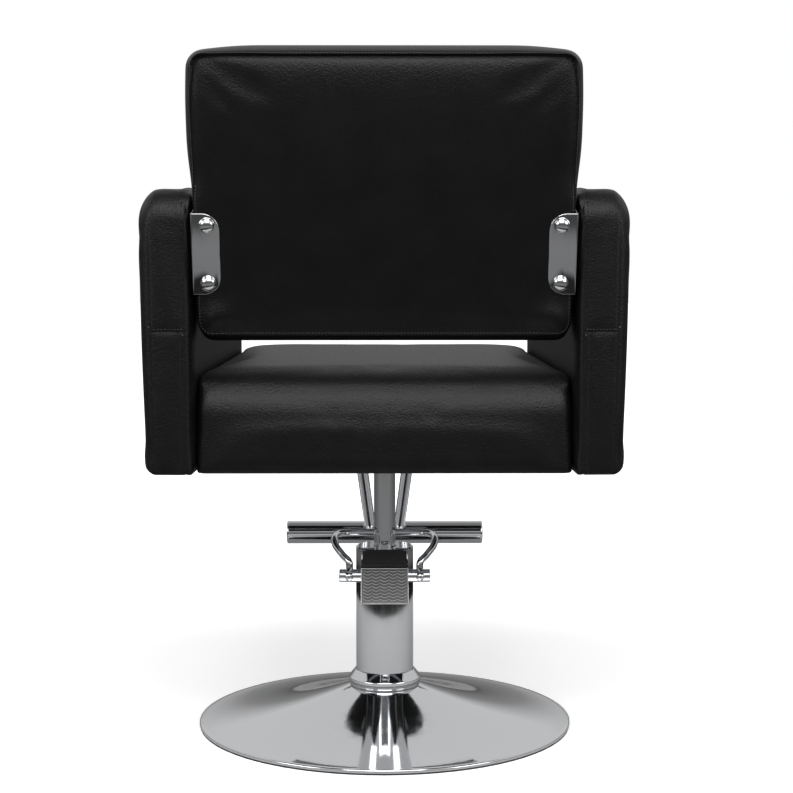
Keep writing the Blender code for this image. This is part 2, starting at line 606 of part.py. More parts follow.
def smooth_path(points, steps):
    # Catmull-Rom curve through the points, with the end points kept.
    padded = [2 * points[0] - points[1]] + points + [2 * points[-1] - points[-2]]
    path = []
    for a, b, c, d in zip(padded, padded[1:], padded[2:], padded[3:]):
        for k in range(steps):
            t = k / steps
            path.append(0.5 * (2 * b + (c - a) * t + (2 * a - 5 * b + 4 * c - d) * t ** 2
                               + (3 * b - a - 3 * c + d) * t ** 3))
    return path + [points[-1]]


def make_brake():
    half = PIN_LENGTH / 2
    pin = rod_between("cross_pin", (-half, 0, 0), (half, 0, 0), PIN_RADIUS, "chrome", brake_axis)
    cam = rod_between("join_pin_cam", (-CAM_WIDTH / 2, CAM_THROW, 0), (CAM_WIDTH / 2, CAM_THROW, 0),
                      CAM_RADIUS, None, brake_axis)
    shape(pin, cam, "UNION")

    shoe_rear = PIN_BACK + CAM_THROW - CAM_RADIUS - CAM_GAP
    shoe = rod_between("brake_shoe", (0, ROD_RADIUS + CAM_GAP, PIN_HEIGHT), (0, shoe_rear, PIN_HEIGHT),
                       SHOE_RADIUS, "steel", base, 24)
    shoe.parent = base

    rise = LOOP_HEIGHT - PIN_HEIGHT
    front = -PIN_BACK - LOOP_CROSSING
    corner = LOOP_HALF_WIDTH - LOOP_SOCKET
    side = [Vector((LOOP_SOCKET, 0, -PIN_RADIUS)), Vector((LOOP_SOCKET, 0, PIN_RADIUS)),
            Vector((LOOP_SOCKET, 0, rise * 0.40)), Vector((LOOP_SOCKET + corner * 0.40, -0.009, rise * 0.58)),
            Vector((LOOP_SOCKET + corner * 0.85, -0.021, rise * 0.80)),
            Vector((LOOP_HALF_WIDTH, -0.036, rise * 0.92)), Vector((LOOP_HALF_WIDTH, -0.055, rise * 0.98)),
            Vector((LOOP_HALF_WIDTH - corner * 0.22, front + 0.014, rise)),
            Vector((LOOP_HALF_WIDTH - corner * 0.75, front + 0.003, rise)),
            Vector((LOOP_SOCKET * 0.6, front, rise))]
    mirrored = [Vector((-point.x, point.y, point.z)) for point in reversed(side)]
    path = smooth_path(side + mirrored, 3)
    curve = bpy.data.curves.new("brake_loop", "CURVE")
    curve.dimensions = "3D"
    curve.bevel_depth = LOOP_WIRE
    curve.bevel_resolution = 2
    curve.use_fill_caps = True
    spline = curve.splines.new("POLY")
    spline.points.add(len(path) - 1)
    for point, place in zip(spline.points, path):
        point.co = (*place, 1)
    add_object("brake_loop", curve, "chrome", brake_axis)

    screw = domed_mesh("clamp_screw", CLAMP_SHANK_RADIUS, CLAMP_HEAD_RADIUS, CLAMP_HEAD_RADIUS * 0.7,
                       PIN_RADIUS - LOOP_WIRE - 2 * FIT, 20)
    for side_sign, word in ((1, "left"), (-1, "right")):
        x = side_sign * LOOP_SOCKET
        drill(pin, "cut_wire_socket_" + word, (x, 0, -2 * PIN_RADIUS), (x, 0, 2 * PIN_RADIUS),
              LOOP_WIRE + 2 * FIT, brake_axis, 16)
        drill(pin, "cut_clamp_thread_" + word, (x, 0, 0), (x, 2 * PIN_RADIUS, 0),
              CLAMP_SHANK_RADIUS + FIT, brake_axis, 20)
        add_object("clamp_screw_" + word, screw.copy(), "chrome", brake_axis, (x, PIN_RADIUS, 0),
                   (-math.pi / 2, 0, 0))


# Seat

def inner_at(y):
    # Half the width between the toed-in arms at a depth y.
    return ARM_INNER - (ARM_REAR - y) * math.tan(ARM_TOE_IN)


def make_seat():
    rear_edge, side_edge, front_edge, foot_edge = 0.046, 0.014, 0.036, 0.008
    rear_corner, front_corner = 0.014, 0.030
    height = SEAT_EDGE_HEIGHT
    wide = inner_at(SEAT_REAR) - SIDE_GAP
    slant = math.tan(ARM_TOE_IN)

    def seat_ring(z, side, front, rear):
        rear_radius = max(rear_corner - side / 2, foot_edge)
        front_radius = max(front_corner - side / 2, foot_edge)
        points = ring(-wide + side, wide - side, -SEAT_FRONT + front, SEAT_REAR - rear,
                      (front_radius, front_radius, rear_radius, rear_radius))
        return [(x * (1 - slant * (SEAT_REAR - y) / wide), y, SEAT_BOTTOM + z) for x, y in points]

    rings = [seat_ring(0, foot_edge, foot_edge, foot_edge),
             seat_ring(foot_edge / 3, foot_edge / 4, foot_edge / 4, foot_edge / 4),
             seat_ring(foot_edge, 0, 0, 0), seat_ring(height / 2, 0.0015, 0, 0)]
    for degrees in (0, 20, 40, 58, 74, 90):
        z = height - rear_edge * (1 - math.sin(math.radians(degrees)))
        rings.append(seat_ring(z, edge_inset(z, height, side_edge), edge_inset(z, height, front_edge),
                               edge_inset(z, height, rear_edge)))
    for share, inset in ((0.45, 0.060), (0.75, 0.095), (0.94, 0.135), (1.0, 0.170)):
        rings.append(seat_ring(height + SEAT_CROWN * share, inset * 0.5, inset * 0.7, inset))
    cushion = loft("seat_cushion", rings, "leatherette", chair)

    half = inner_at(-SEAT_FRONT) - SEAT_BOARD_MARGIN
    low = (-half, -SEAT_FRONT + SEAT_BOARD_MARGIN, SEAT_BOTTOM)
    high = (half, SEAT_REAR - SEAT_BOARD_MARGIN, SEAT_BOTTOM + SEAT_BOARD_THICKNESS)
    board = block("seat_board", low, high, "plywood", chair)
    room = Vector((FIT, FIT, FIT))
    shape(cushion, block("cut_seat_board", Vector(low) - room * 9, Vector(high) + room, None, chair))
    trim = Vector((half + FIT, 0, 0))
    shape(cushion, block("cut_seat_board_sides", (-trim.x, low[1] - FIT, low[2] - FIT),
                         (trim.x, high[1] + FIT, high[2] + FIT), None, chair))

    plate_low = UNDERSIDE - SEAT_PLATE_THICKNESS
    plate = block("seat_plate", (-SEAT_PLATE_WIDTH / 2, -SEAT_PLATE_DEPTH / 2, plate_low),
                  (SEAT_PLATE_WIDTH / 2, SEAT_PLATE_DEPTH / 2, UNDERSIDE), "steel", chair)
    length = SEAT_PLATE_THICKNESS + BOLT_BITE
    bolt = bolt_mesh("seat_plate_bolt", M8, length)
    number = 0
    for x in (-SEAT_PLATE_WIDTH / 2 + SEAT_BOLT_INSET, SEAT_PLATE_WIDTH / 2 - SEAT_BOLT_INSET):
        for y in (-SEAT_PLATE_DEPTH / 2 + SEAT_BOLT_INSET, SEAT_PLATE_DEPTH / 2 - SEAT_BOLT_INSET):
            number += 1
            add_object("seat_plate_bolt_%d" % number, bolt.copy(), "steel", chair, (x, y, plate_low),
                       (math.pi, 0, 0))
            for target in (plate, board):
                drill(target, "cut_%s_%d" % (target.name, number), (x, y, plate_low - FIT),
                      (x, y, plate_low + length + FIT), M8[0] + FIT, chair, 16)


# Arms

def make_arms():
    strap_low = UNDERSIDE - STRAP_THICKNESS
    middle = (SEAT_REAR - SEAT_FRONT) / 2
    board_middle = ARM_BOARD_INSET + ARM_BOARD_THICKNESS / 2
    bolt = bolt_mesh("arm_bolt", M8, STRAP_THICKNESS + BOLT_BITE)
    strap_half = inner_at(SEAT_REAR) + board_middle + STRAP_WIDTH / 2
    straps = {}
    for word, y in (("front", middle - STRAP_PITCH / 2), ("rear", middle + STRAP_PITCH / 2)):
        straps[word] = (y, block("cross_strap_" + word, (-strap_half, y - STRAP_WIDTH / 2, strap_low),
                                 (strap_half, y + STRAP_WIDTH / 2, UNDERSIDE), "steel", chair))
    for side, word in ((1, "left"), (-1, "right")):
        place = frame("arm_%s_frame" % word, (side * ARM_INNER, ARM_REAR, SEAT_BOTTOM),
                      (0, 0, -side * ARM_TOE_IN), chair)
        pad = make_arm_pad(word, side, place)
        board = block("arm_board_" + word, *arm_board_box(side, 0, 0), "plywood", place)
        shape(pad, block("cut_arm_board_" + word, *arm_board_box(side, FIT, FIT), None, place))
        for end, (y, strap) in straps.items():
            x = side * (inner_at(y) + board_middle / math.cos(ARM_TOE_IN))
            name = "%s_%s" % (word, end)
            add_object("arm_bolt_" + name, bolt.copy(), "steel", chair, (x, y, strap_low), (math.pi, 0, 0))
            top = strap_low + STRAP_THICKNESS + BOLT_BITE + FIT
            for target in (strap, board):
                drill(target, "cut_%s_%s" % (target.name, name), (x, y, strap_low - FIT), (x, y, top),
                      M8[0] + FIT, chair, 16)


def arm_board_box(side, room, below):
    near, far = ARM_BOARD_INSET - room, ARM_BOARD_INSET + ARM_BOARD_THICKNESS + room
    low_x, high_x = sorted((side * near, side * far))
    return ((low_x, -ARM_DEPTH + ARM_BOARD_MARGIN - room, FIT - 9 * below),
            (high_x, -ARM_BOARD_MARGIN + room, ARM_HEIGHT - ARM_TOP_EDGE + room))


def make_arm_pad(word, side, place):
    full = ARM_THICKNESS
    inner_edge = 0.010
    seam_in, seam_out = inner_edge, full - ARM_REAR_EDGE

    def arm_ring(depth, extra, flat):
        top = edge_inset(depth, full, ARM_TOP_EDGE) + extra
        end = edge_inset(depth, full, ARM_REAR_EDGE) + extra
        foot = edge_inset(depth, full, ARM_FOOT_EDGE) + extra
        corner = max(ARM_CORNER - max(top, end) / 2 - flat, ARM_FOOT_CORNER / 2)
        heel = max(ARM_FOOT_CORNER - foot / 2, ARM_FOOT_CORNER / 2)
        points = ring(-ARM_DEPTH + end + flat, -end - flat, foot + flat, ARM_HEIGHT - top - flat,
                      (heel, heel, corner, corner))
        thin = ARM_FOOT_THICKNESS / full
        return [(side * depth * (thin + (1 - thin) * v / ARM_HEIGHT), u, v) for u, v in points]

    rings = [arm_ring(0, inner_edge, 0.040), arm_ring(0, inner_edge, 0),
             arm_ring(inner_edge * 0.15, inner_edge * 0.45, 0),
             arm_ring(inner_edge * 0.55, inner_edge * 0.12, 0),
             arm_ring(seam_in, SEAM_DEPTH, 0), arm_ring(seam_in + 0.004, 0, 0),
             arm_ring((seam_in + seam_out) / 2, 0, 0), arm_ring(seam_out - 0.004, 0, 0),
             arm_ring(seam_out, SEAM_DEPTH, 0)]
    for share in (0.22, 0.50, 0.74, 0.90, 1.0):
        rings.append(arm_ring(seam_out + (full - seam_out) * share, 0, 0))
    rings.append(arm_ring(full, 0, 0.050))
    return loft("arm_pad_" + word, rings, "leatherette", place)


# Backrest. Its frame leans back, with local Y out of the rear face and local Z up the panel.

def make_backrest():
    place = frame("backrest_frame", (0, BACK_REAR, BACK_BOTTOM), (-BACK_RECLINE, 0, 0), chair)

    def back_ring(depth, inset, bulge):
        spread = bulge * BACK_SIDE_BULGE - inset
        radius = max(BACK_CORNER - max(inset, 0) / 3, BACK_CORNER / 3)
        half = BACK_HALF_WIDTH + spread
        points = ring(-half, half, inset - bulge * BACK_BOTTOM_BULGE,
                      BACK_HEIGHT + bulge * BACK_TOP_BULGE - inset, (radius,) * 4, BACK_SIDE_POINTS)
        return [(x + math.copysign(BACK_FLARE, x) * min(1.0, abs(x) / half) * flare_at(v), depth, v)
                for x, v in points]

    front = -BACK_THICKNESS
    rings = []
    for share, inset in ((1.0, 0.130), (0.93, 0.095), (0.74, 0.060), (0.40, 0.025), (0.14, 0.008)):
        rings.append(back_ring(front - BACK_FRONT_CROWN * share, inset, 0))
    rings += [back_ring(front, SEAM_DEPTH, 0), back_ring(front + 0.006, 0, 0.45),
              back_ring(front * 0.5, 0, 1.0),
              back_ring(-0.006, 0, 0.45), back_ring(0, SEAM_DEPTH, 0)]
    for share, inset in ((0.16, 0.008), (0.34, 0.030), (0.40, 0.052), (0.72, 0.085), (0.95, 0.120),
                         (1.0, 0.140)):
        rings.append(back_ring(BACK_REAR_CROWN * share, inset, 0))
    cushion = loft("backrest_cushion", rings, "leatherette", place)

    half = BACK_HALF_WIDTH - BACK_BOARD_MARGIN
    near, far = -BACK_BOARD_DEPTH, -BACK_BOARD_DEPTH - BACK_BOARD_THICKNESS
    top = BACK_HEIGHT - 2 * BACK_BOARD_MARGIN
    board = block("backrest_board", (-half, far, BACK_BOARD_MARGIN), (half, near, top), "plywood", place)
    shape(cushion, block("cut_backrest_board", (-half - FIT, far - FIT, -2 * BACK_BOTTOM_BULGE),
                         (half + FIT, near + FIT, top + FIT), None, place))
    make_brackets(place, cushion, board)


def flare_at(v):
    # The sides stay narrow beside the arms and open out above them.
    low = BRACKET_BASE + BRACKET_HEIGHT * 1.18
    share = (v - low) / (BACK_HEIGHT * 0.8 - low)
    return max(0.0, min(1.0, share))


def make_brackets(place, cushion, board):
    sheet = BRACKET_SHEET
    low, high = BRACKET_BASE, BRACKET_BASE + BRACKET_HEIGHT
    face = BRACKET_STANDOFF + sheet
    bite = BACK_BOARD_DEPTH + BOLT_BITE + face
    bolt = domed_mesh("bracket_bolt", M8[0], DOME_HEAD_RADIUS, DOME_HEAD_HEIGHT, bite)
    spare = (BRACKET_HEIGHT - BRACKET_BOLT_SPACING) / 2
    for side, word in ((1, "left"), (-1, "right")):
        outer = BACK_SIDE + sheet
        inner = outer - BRACKET_WIDTH
        bm = bmesh.new()
        outline = [(outer, low), (outer, high)]
        for k in range(7):
            angle = math.radians(90 + 15 * k)
            outline.append((inner + BRACKET_CORNER * (1 + math.cos(angle)),
                            high - BRACKET_CORNER * (1 - math.sin(angle))))
        for k in range(7):
            angle = math.radians(180 + 15 * k)
            outline.append((inner + BRACKET_CORNER * (1 + math.cos(angle)),
                            low + BRACKET_CORNER * (1 + math.sin(angle))))
        plate = bm.faces.new([bm.verts.new((side * x, BRACKET_STANDOFF, z)) for x, z in outline])
        made = bmesh.ops.extrude_face_region(bm, geom=[plate])
        moved = [item for item in made["geom"] if isinstance(item, bmesh.types.BMVert)]
        bmesh.ops.translate(bm, verts=moved, vec=(0, sheet, 0))
        bracket = add_object("bracket_" + word, close_mesh("bracket_" + word, bm), "chrome", place)
        near_x, far_x = sorted((side * BACK_SIDE, side * outer))
        flange = block("join_bracket_flange_" + word, (near_x, -BRACKET_FLANGE, low), (far_x, face, high),
                       None, place)
        shape(bracket, flange, "UNION")
        x = side * (inner + BRACKET_BOLT_INSET)
        for level, z in (("lower", low + spare), ("upper", high - spare)):
            name = "%s_%s" % (word, level)
            add_object("bracket_bolt_" + name, bolt.copy(), "chrome", place, (x, face, z),
                       (-math.pi / 2, 0, 0))
            for target in (bracket, cushion, board):
                drill(target, "cut_%s_%s" % (target.name, name), (x, 2 * face, z), (x, face - bite - FIT, z),
                      M8[0] + FIT, place, 16)


# Footrest

def make_footrest():
    plate_low = UNDERSIDE - FOOT_PLATE_THICKNESS
    block("footrest_plate", (-FOOT_PLATE_WIDTH / 2, -STRUT_TOP_FRONT - FOOT_PLATE_DEPTH / 2, plate_low),
          (FOOT_PLATE_WIDTH / 2, -STRUT_TOP_FRONT + FOOT_PLATE_DEPTH / 2, UNDERSIDE), "steel", chair)
    half = BAR_LENGTH / 2
    tube_half = half - BAR_PLUG - FIT
    turned("footrest_bar", tube_profile(BAR_RADIUS - BAR_WALL, BAR_RADIUS, -tube_half, tube_half),
           "chrome", chair, location=(0, -BAR_FRONT, BAR_HEIGHT), rotation=(0, math.pi / 2, 0))
    saddle = rod_between("cut_strut_saddle", (-half, -BAR_FRONT, BAR_HEIGHT), (half, -BAR_FRONT, BAR_HEIGHT),
                         BAR_RADIUS + FIT, None, chair)
    ceiling = block("cut_strut_top", (-half, -2 * BAR_FRONT, plate_low - FIT),
                    (half, BAR_FRONT, SEAT_BOTTOM + SEAT_EDGE_HEIGHT), None, chair)
    bore = BAR_RADIUS - BAR_WALL - FIT
    bevel = BAR_PLUG / 2
    plug = [(0, BAR_PLUG), (BAR_RADIUS - bevel, BAR_PLUG), (BAR_RADIUS - bevel / 3, BAR_PLUG - bevel / 3),
            (BAR_RADIUS, BAR_PLUG - bevel), (BAR_RADIUS, 0), (bore, 0), (bore, -2 * BAR_PLUG),
            (0, -2 * BAR_PLUG)]
    for side, word in ((1, "left"), (-1, "right")):
        top = Vector((side * STRUT_TOP_SPREAD, -STRUT_TOP_FRONT, plate_low))
        foot = Vector((side * STRUT_FOOT_SPREAD, -BAR_FRONT, BAR_HEIGHT))
        along = (top - foot).normalized()
        strut = rod_between("footrest_strut_" + word, foot, top + along * STRUT_RADIUS * 2, STRUT_RADIUS,
                            "chrome", chair)
        shape(strut, saddle)
        shape(strut, ceiling)
        turned("footrest_plug_" + word, plug, "chrome", chair,
               location=(side * (half - BAR_PLUG), -BAR_FRONT, BAR_HEIGHT),
               rotation=(0, side * math.pi / 2, 0))


make_pump()
make_base()
make_lift()
make_pedal()
make_brake()
make_seat()
make_arms()
make_backrest()
make_footrest()
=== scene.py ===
import json
import math

import bmesh
import bpy
from mathutils import Matrix, Vector
from mathutils.bvhtree import BVHTree

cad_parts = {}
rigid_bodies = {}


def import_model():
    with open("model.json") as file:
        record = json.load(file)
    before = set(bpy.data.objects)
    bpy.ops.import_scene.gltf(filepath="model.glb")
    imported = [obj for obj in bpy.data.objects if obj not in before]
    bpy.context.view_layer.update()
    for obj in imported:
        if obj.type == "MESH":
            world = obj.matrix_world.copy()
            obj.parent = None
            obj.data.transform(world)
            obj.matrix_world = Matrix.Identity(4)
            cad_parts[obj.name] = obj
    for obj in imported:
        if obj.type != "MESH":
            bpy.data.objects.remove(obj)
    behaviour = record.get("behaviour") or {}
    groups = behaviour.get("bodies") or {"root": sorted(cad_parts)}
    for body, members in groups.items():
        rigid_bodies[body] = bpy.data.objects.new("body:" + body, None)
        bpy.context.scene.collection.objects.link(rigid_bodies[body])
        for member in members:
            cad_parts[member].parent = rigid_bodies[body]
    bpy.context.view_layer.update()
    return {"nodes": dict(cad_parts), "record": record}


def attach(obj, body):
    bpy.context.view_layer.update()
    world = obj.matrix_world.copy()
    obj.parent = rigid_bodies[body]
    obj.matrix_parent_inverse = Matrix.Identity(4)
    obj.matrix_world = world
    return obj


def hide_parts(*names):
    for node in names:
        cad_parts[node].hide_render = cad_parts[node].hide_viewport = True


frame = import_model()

scene = bpy.context.scene
scene.view_settings.view_transform = "Standard"
print("frame loaded,", len(frame["nodes"]), "nodes")


# camera, where the photograph was taken from
shot = {"place": (0.0, 2.5598, 0.71), "focal": 1815.87, "pitch": 5.395, "yaw": -0.3786, "width": 793,
        "sensor": 36.0, "far": 60.0}


def makeCamera():
    data = bpy.data.cameras.new("rearCamera")
    data.sensor_width = shot["sensor"]
    data.lens = shot["sensor"] * shot["focal"] / shot["width"]
    data.clip_end = shot["far"]
    camera = bpy.data.objects.new("rearCamera", data)
    scene.collection.objects.link(camera)
    pitch, yaw = math.radians(shot["pitch"]), math.radians(shot["yaw"])
    look = Vector((math.sin(yaw) * math.cos(pitch), -math.cos(yaw) * math.cos(pitch), -math.sin(pitch)))
    camera.location = shot["place"]
    camera.rotation_euler = look.to_track_quat("-Z", "Y").to_euler()
    scene.camera = camera


makeCamera()
print("camera set")


# nodes and colours

def tone(code):
    channels = [int(code[k:k + 2], 16) / 255 for k in (1, 3, 5)]  # sRGB hex to linear
    return [c / 12.92 if c <= 0.04045 else ((c + 0.055) / 1.055) ** 2.4 for c in channels] + [1.0]


def addNode(tree, kind, settings=None, **links):
    node = tree.nodes.new("ShaderNode" + kind)
    for key, value in (settings or {}).items():
        if isinstance(key, str) and hasattr(node, key):
            setattr(node, key, value)
        else:
            node.inputs[key].default_value = value
    for key, source in links.items():
        socket = node.inputs[int(key[1:])] if key[0] == "_" else node.inputs[key.replace("_", " ")]
        tree.links.new(source, socket)
    return node


def newMaterial(name, colour, roughness, metallic=0.0):
    material = bpy.data.materials.new(name)
    material.use_nodes = True
    shader = material.node_tree.nodes["Principled BSDF"]
    shader.inputs["Base Color"].default_value = tone(colour)
    shader.inputs["Roughness"].default_value = roughness
    shader.inputs["Metallic"].default_value = metallic
    return material, material.node_tree, shader


def ramp(tree, source, stops):
    node = addNode(tree, "ValToRGB", Fac=source)
    bar = node.color_ramp.elements
    bar[0].position, bar[0].color = stops[0][0], stops[0][1]
    bar[1].position, bar[1].color = stops[-1][0], stops[-1][1]
    for place, colour in stops[1:-1]:
        bar.new(place).color = colour
    return node.outputs["Color"]


def grey(value):
    return (value, value, value, 1.0)


# stage: white paper sweep, soft boxes, a grey room round it
studio = {"floor": "#e6e6e6", "sheen": "#c2c2c2", "edge": "#222222", "room": "#747474", "half": 14.0,
          "glow": 0.42, "farGlow": 1.0, "glowFrom": 0.55, "glowTo": 1.7, "fill": 0.42,
          "paper": 0.835, "paperFade": 0.016, "paperY": -0.075,
          "roomFrom": 1.14, "roomFade": 0.12, "reach": 4.0,
          "walls": ((0.0, 0.15), (0.15, 0.28), (0.30, 0.72), (0.72, 0.76), (0.90, 0.30), (1.0, 0.24)),
          "lamps": (("topBox", (0.0, 2.1, 2.9), (0.0, 0.0, 0.6), 2.4, 95),
                    ("leftBox", (2.6, 1.9, 1.7), (0.0, 0.0, 0.6), 1.5, 30),
                    ("rightBox", (-2.6, 1.9, 1.7), (0.0, 0.0, 0.6), 1.5, 30))}


def makeStage():
    world = bpy.data.worlds.new("studio")
    scene.world = world
    world.use_nodes = True
    tree = world.node_tree
    tree.nodes.clear()
    path = addNode(tree, "LightPath")
    clear = addNode(tree, "Math", {"operation": "MAXIMUM"}, _0=path.outputs["Is Camera Ray"],
                    _1=path.outputs["Is Transmission Ray"])
    way = addNode(tree, "SeparateXYZ", None, Vector=addNode(tree, "TexCoord").outputs["Generated"])
    room = ramp(tree, way.outputs["Z"], [(height, grey(value)) for height, value in studio["walls"]])
    dim = addNode(tree, "Background", {"Color": grey(1.0), "Strength": studio["fill"]})
    seen = addNode(tree, "Background", {"Strength": 1.0}, Color=room)  # dark walls, a pale band above them
    white = addNode(tree, "Background", {"Color": grey(1.0), "Strength": 1.0})
    glossy = path.outputs["Is Glossy Ray"]
    lit = addNode(tree, "MixShader", None, Fac=glossy, _1=dim.outputs[0], _2=seen.outputs[0])
    both = addNode(tree, "MixShader", None, Fac=clear.outputs[0], _1=lit.outputs[0], _2=white.outputs[0])
    addNode(tree, "OutputWorld", None, Surface=both.outputs[0])

    paper, tree, shader = newMaterial("white studio paper", studio["floor"], 0.9)
    shader.inputs["Specular IOR Level"].default_value = 0.0
    path = addNode(tree, "LightPath")
    shift = addNode(tree, "VectorMath", {"operation": "ADD", 1: (0, -studio["paperY"], 0)},
                    _0=addNode(tree, "TexCoord").outputs["Object"])
    away = addNode(tree, "VectorMath", {"operation": "LENGTH"}, _0=shift.outputs[0]).outputs["Value"]
    glow = addNode(tree, "MapRange", {"From Min": studio["glowFrom"], "From Max": studio["glowTo"],
                                      "To Min": studio["glow"], "To Max": studio["farGlow"]}, Value=away)
    glow = addNode(tree, "Math", {"operation": "MULTIPLY"}, _0=glow.outputs[0],
                   _1=path.outputs["Is Camera Ray"])
    shader.inputs["Emission Color"].default_value = grey(1.0)
    tree.links.new(glow.outputs[0], shader.inputs["Emission Strength"])
    share = addNode(tree, "Math", {"operation": "MULTIPLY", 1: 1 / studio["reach"]}, _0=away)
    stops = ((studio["paper"], "sheen"), (studio["paper"] + studio["paperFade"], "edge"),
             (studio["roomFrom"], "edge"), (studio["roomFrom"] + studio["roomFade"], "room"))
    rings = ramp(tree, share.outputs[0], [(far / studio["reach"], tone(studio[look])) for far, look in stops])
    sheet = addNode(tree, "MixRGB", {"Color1": tone(studio["floor"])}, Fac=path.outputs["Is Glossy Ray"],
                    Color2=rings)  # only mirrors see where the paper ends
    tree.links.new(sheet.outputs[0], shader.inputs["Base Color"])
    bm = bmesh.new()
    bmesh.ops.create_grid(bm, x_segments=1, y_segments=1, size=studio["half"])
    mesh = bpy.data.meshes.new("floor")
    bm.to_mesh(mesh)
    bm.free()
    mesh.materials.append(paper)
    floor = bpy.data.objects.new("floor", mesh)
    scene.collection.objects.link(floor)

    for name, place, target, size, power in studio["lamps"]:
        lamp = bpy.data.lights.new(name, "AREA")
        lamp.size = size
        lamp.energy = power
        box = bpy.data.objects.new(name, lamp)
        box.location = place
        box.rotation_euler = (Vector(target) - Vector(place)).to_track_quat("-Z", "Y").to_euler()
        scene.collection.objects.link(box)


makeStage()
print("stage lit")


# metals, rubber and wood

def makeChrome():
    # polished chrome plate: a clear mirror, with faint wiping marks that soften it a little
    material, tree, shader = newMaterial("chrome plate, polished", "#d0d1d3", 0.07, 1.0)
    place = addNode(tree, "TexCoord")
    wipe = addNode(tree, "Mapping", {"Scale": (1.0, 1.0, 0.25)}, Vector=place.outputs["Object"])
    marks = addNode(tree, "TexNoise", {"Scale": 1 / 0.012, "Detail": 6.0}, Vector=wipe.outputs[0])
    gloss = ramp(tree, marks.outputs[0], ((0.3, grey(0.045)), (0.75, grey(0.10))))
    tree.links.new(gloss, shader.inputs["Roughness"])
    wave = addNode(tree, "TexNoise", {"Scale": 1 / 0.030, "Detail": 1.0}, Vector=place.outputs["Object"])
    bump = addNode(tree, "Bump", {"Strength": 0.02, "Distance": 0.002}, Height=wave.outputs[0])
    tree.links.new(bump.outputs[0], shader.inputs["Normal"])
    return material


def makeSteel():
    # plain machined steel: grey, with fine turning marks and a dull gloss
    material, tree, shader = newMaterial("mild steel, machined", "#8f9296", 0.35, 1.0)
    place = addNode(tree, "TexCoord")
    grain = addNode(tree, "TexNoise", {"Scale": 1 / 0.0015, "Detail": 3.0}, Vector=place.outputs["Object"])
    tree.links.new(ramp(tree, grain.outputs[0], ((0.3, grey(0.28)), (0.7, grey(0.45)))),
                   shader.inputs["Roughness"])
    tree.links.new(ramp(tree, grain.outputs[0], ((0.3, tone("#85888c")), (0.7, tone("#989b9f")))),
                   shader.inputs["Base Color"])
    return material


def makeIron():
    # cast iron with a dark coat: sandy skin, almost no shine
    material, tree, shader = newMaterial("cast iron, dark coat", "#2b2c2d", 0.65, 0.4)
    place = addNode(tree, "TexCoord")
    sand = addNode(tree, "TexNoise", {"Scale": 1 / 0.0012, "Detail": 4.0}, Vector=place.outputs["Object"])
    bump = addNode(tree, "Bump", {"Strength": 0.4, "Distance": 0.0004}, Height=sand.outputs[0])
    tree.links.new(bump.outputs[0], shader.inputs["Normal"])
    tree.links.new(ramp(tree, sand.outputs[0], ((0.3, tone("#232425")), (0.7, tone("#343536")))),
                   shader.inputs["Base Color"])
    return material


def makeBrass():
    # turned brass bush: warm yellow with fine rings
    material, tree, shader = newMaterial("brass, turned", "#b9934a", 0.28, 1.0)
    place = addNode(tree, "TexCoord")
    turn = addNode(tree, "TexWave", {"wave_type": "BANDS", "bands_direction": "Z", "Scale": 1 / 0.004},
                   Vector=place.outputs["Object"])
    tree.links.new(ramp(tree, turn.outputs[0], ((0.0, grey(0.22)), (1.0, grey(0.36)))),
                   shader.inputs["Roughness"])
    return material


def makeRubber():
    # moulded black rubber: matt, with a fine pitted skin
    material, tree, shader = newMaterial("rubber, moulded", "#1c1c1c", 0.75)
    place = addNode(tree, "TexCoord")
    pits = addNode(tree, "TexNoise", {"Scale": 1 / 0.0008, "Detail": 2.0}, Vector=place.outputs["Object"])
    bump = addNode(tree, "Bump", {"Strength": 0.3, "Distance": 0.0002}, Height=pits.outputs[0])
    tree.links.new(bump.outputs[0], shader.inputs["Normal"])
    tree.links.new(ramp(tree, pits.outputs[0], ((0.3, tone("#181818")), (0.7, tone("#212121")))),
                   shader.inputs["Base Color"])
    return material


def makePlywood():
    # bare plywood: pale brown, with streaks along the grain
    material, tree, shader = newMaterial("plywood, bare", "#b98f62", 0.7)
    place = addNode(tree, "TexCoord")
    along = addNode(tree, "Mapping", {"Scale": (1.0, 0.06, 1.0)}, Vector=place.outputs["Object"])
    grain = addNode(tree, "TexNoise", {"Scale": 1 / 0.006, "Detail": 6.0}, Vector=along.outputs[0])
    tree.links.new(ramp(tree, grain.outputs[0], ((0.3, tone("#a67c50")), (0.7, tone("#c8a274")))),
                   shader.inputs["Base Color"])
    return material


def makeTreadMetal():
    # pressed steel tread, darkened: grey, brighter on the ridges from wear, with painted shade darkening the
    # hollows between them
    material, tree, shader = newMaterial("pressed steel, darkened tread", "#5c5c5c", 0.38, 0.9)
    place = addNode(tree, "TexCoord").outputs["Object"]
    wear = addNode(tree, "TexNoise", {"Scale": 1 / 0.006, "Detail": 5.0}, Vector=place).outputs["Fac"]
    sharp = addNode(tree, "NewGeometry").outputs["Pointiness"]
    # painted shade in the hollows: concave spots are coloured darker, ridges and rims lighter from wear
    hollowShadeWornRidges = ramp(tree, sharp, ((0.47, tone("#3a3a3a")), (0.5, tone("#585858")), (0.54, tone("#929292"))))
    patchy = ramp(tree, wear, ((0.3, grey(0.82)), (0.7, grey(1.0))))
    mixed = addNode(tree, "MixRGB", {"blend_type": "MULTIPLY", "Fac": 1.0}, Color1=hollowShadeWornRidges, Color2=patchy)
    tree.links.new(mixed.outputs[0], shader.inputs["Base Color"])
    tree.links.new(ramp(tree, wear, ((0.3, grey(0.32)), (0.7, grey(0.48)))), shader.inputs["Roughness"])
    return material


# black leatherette, its thread and the lining

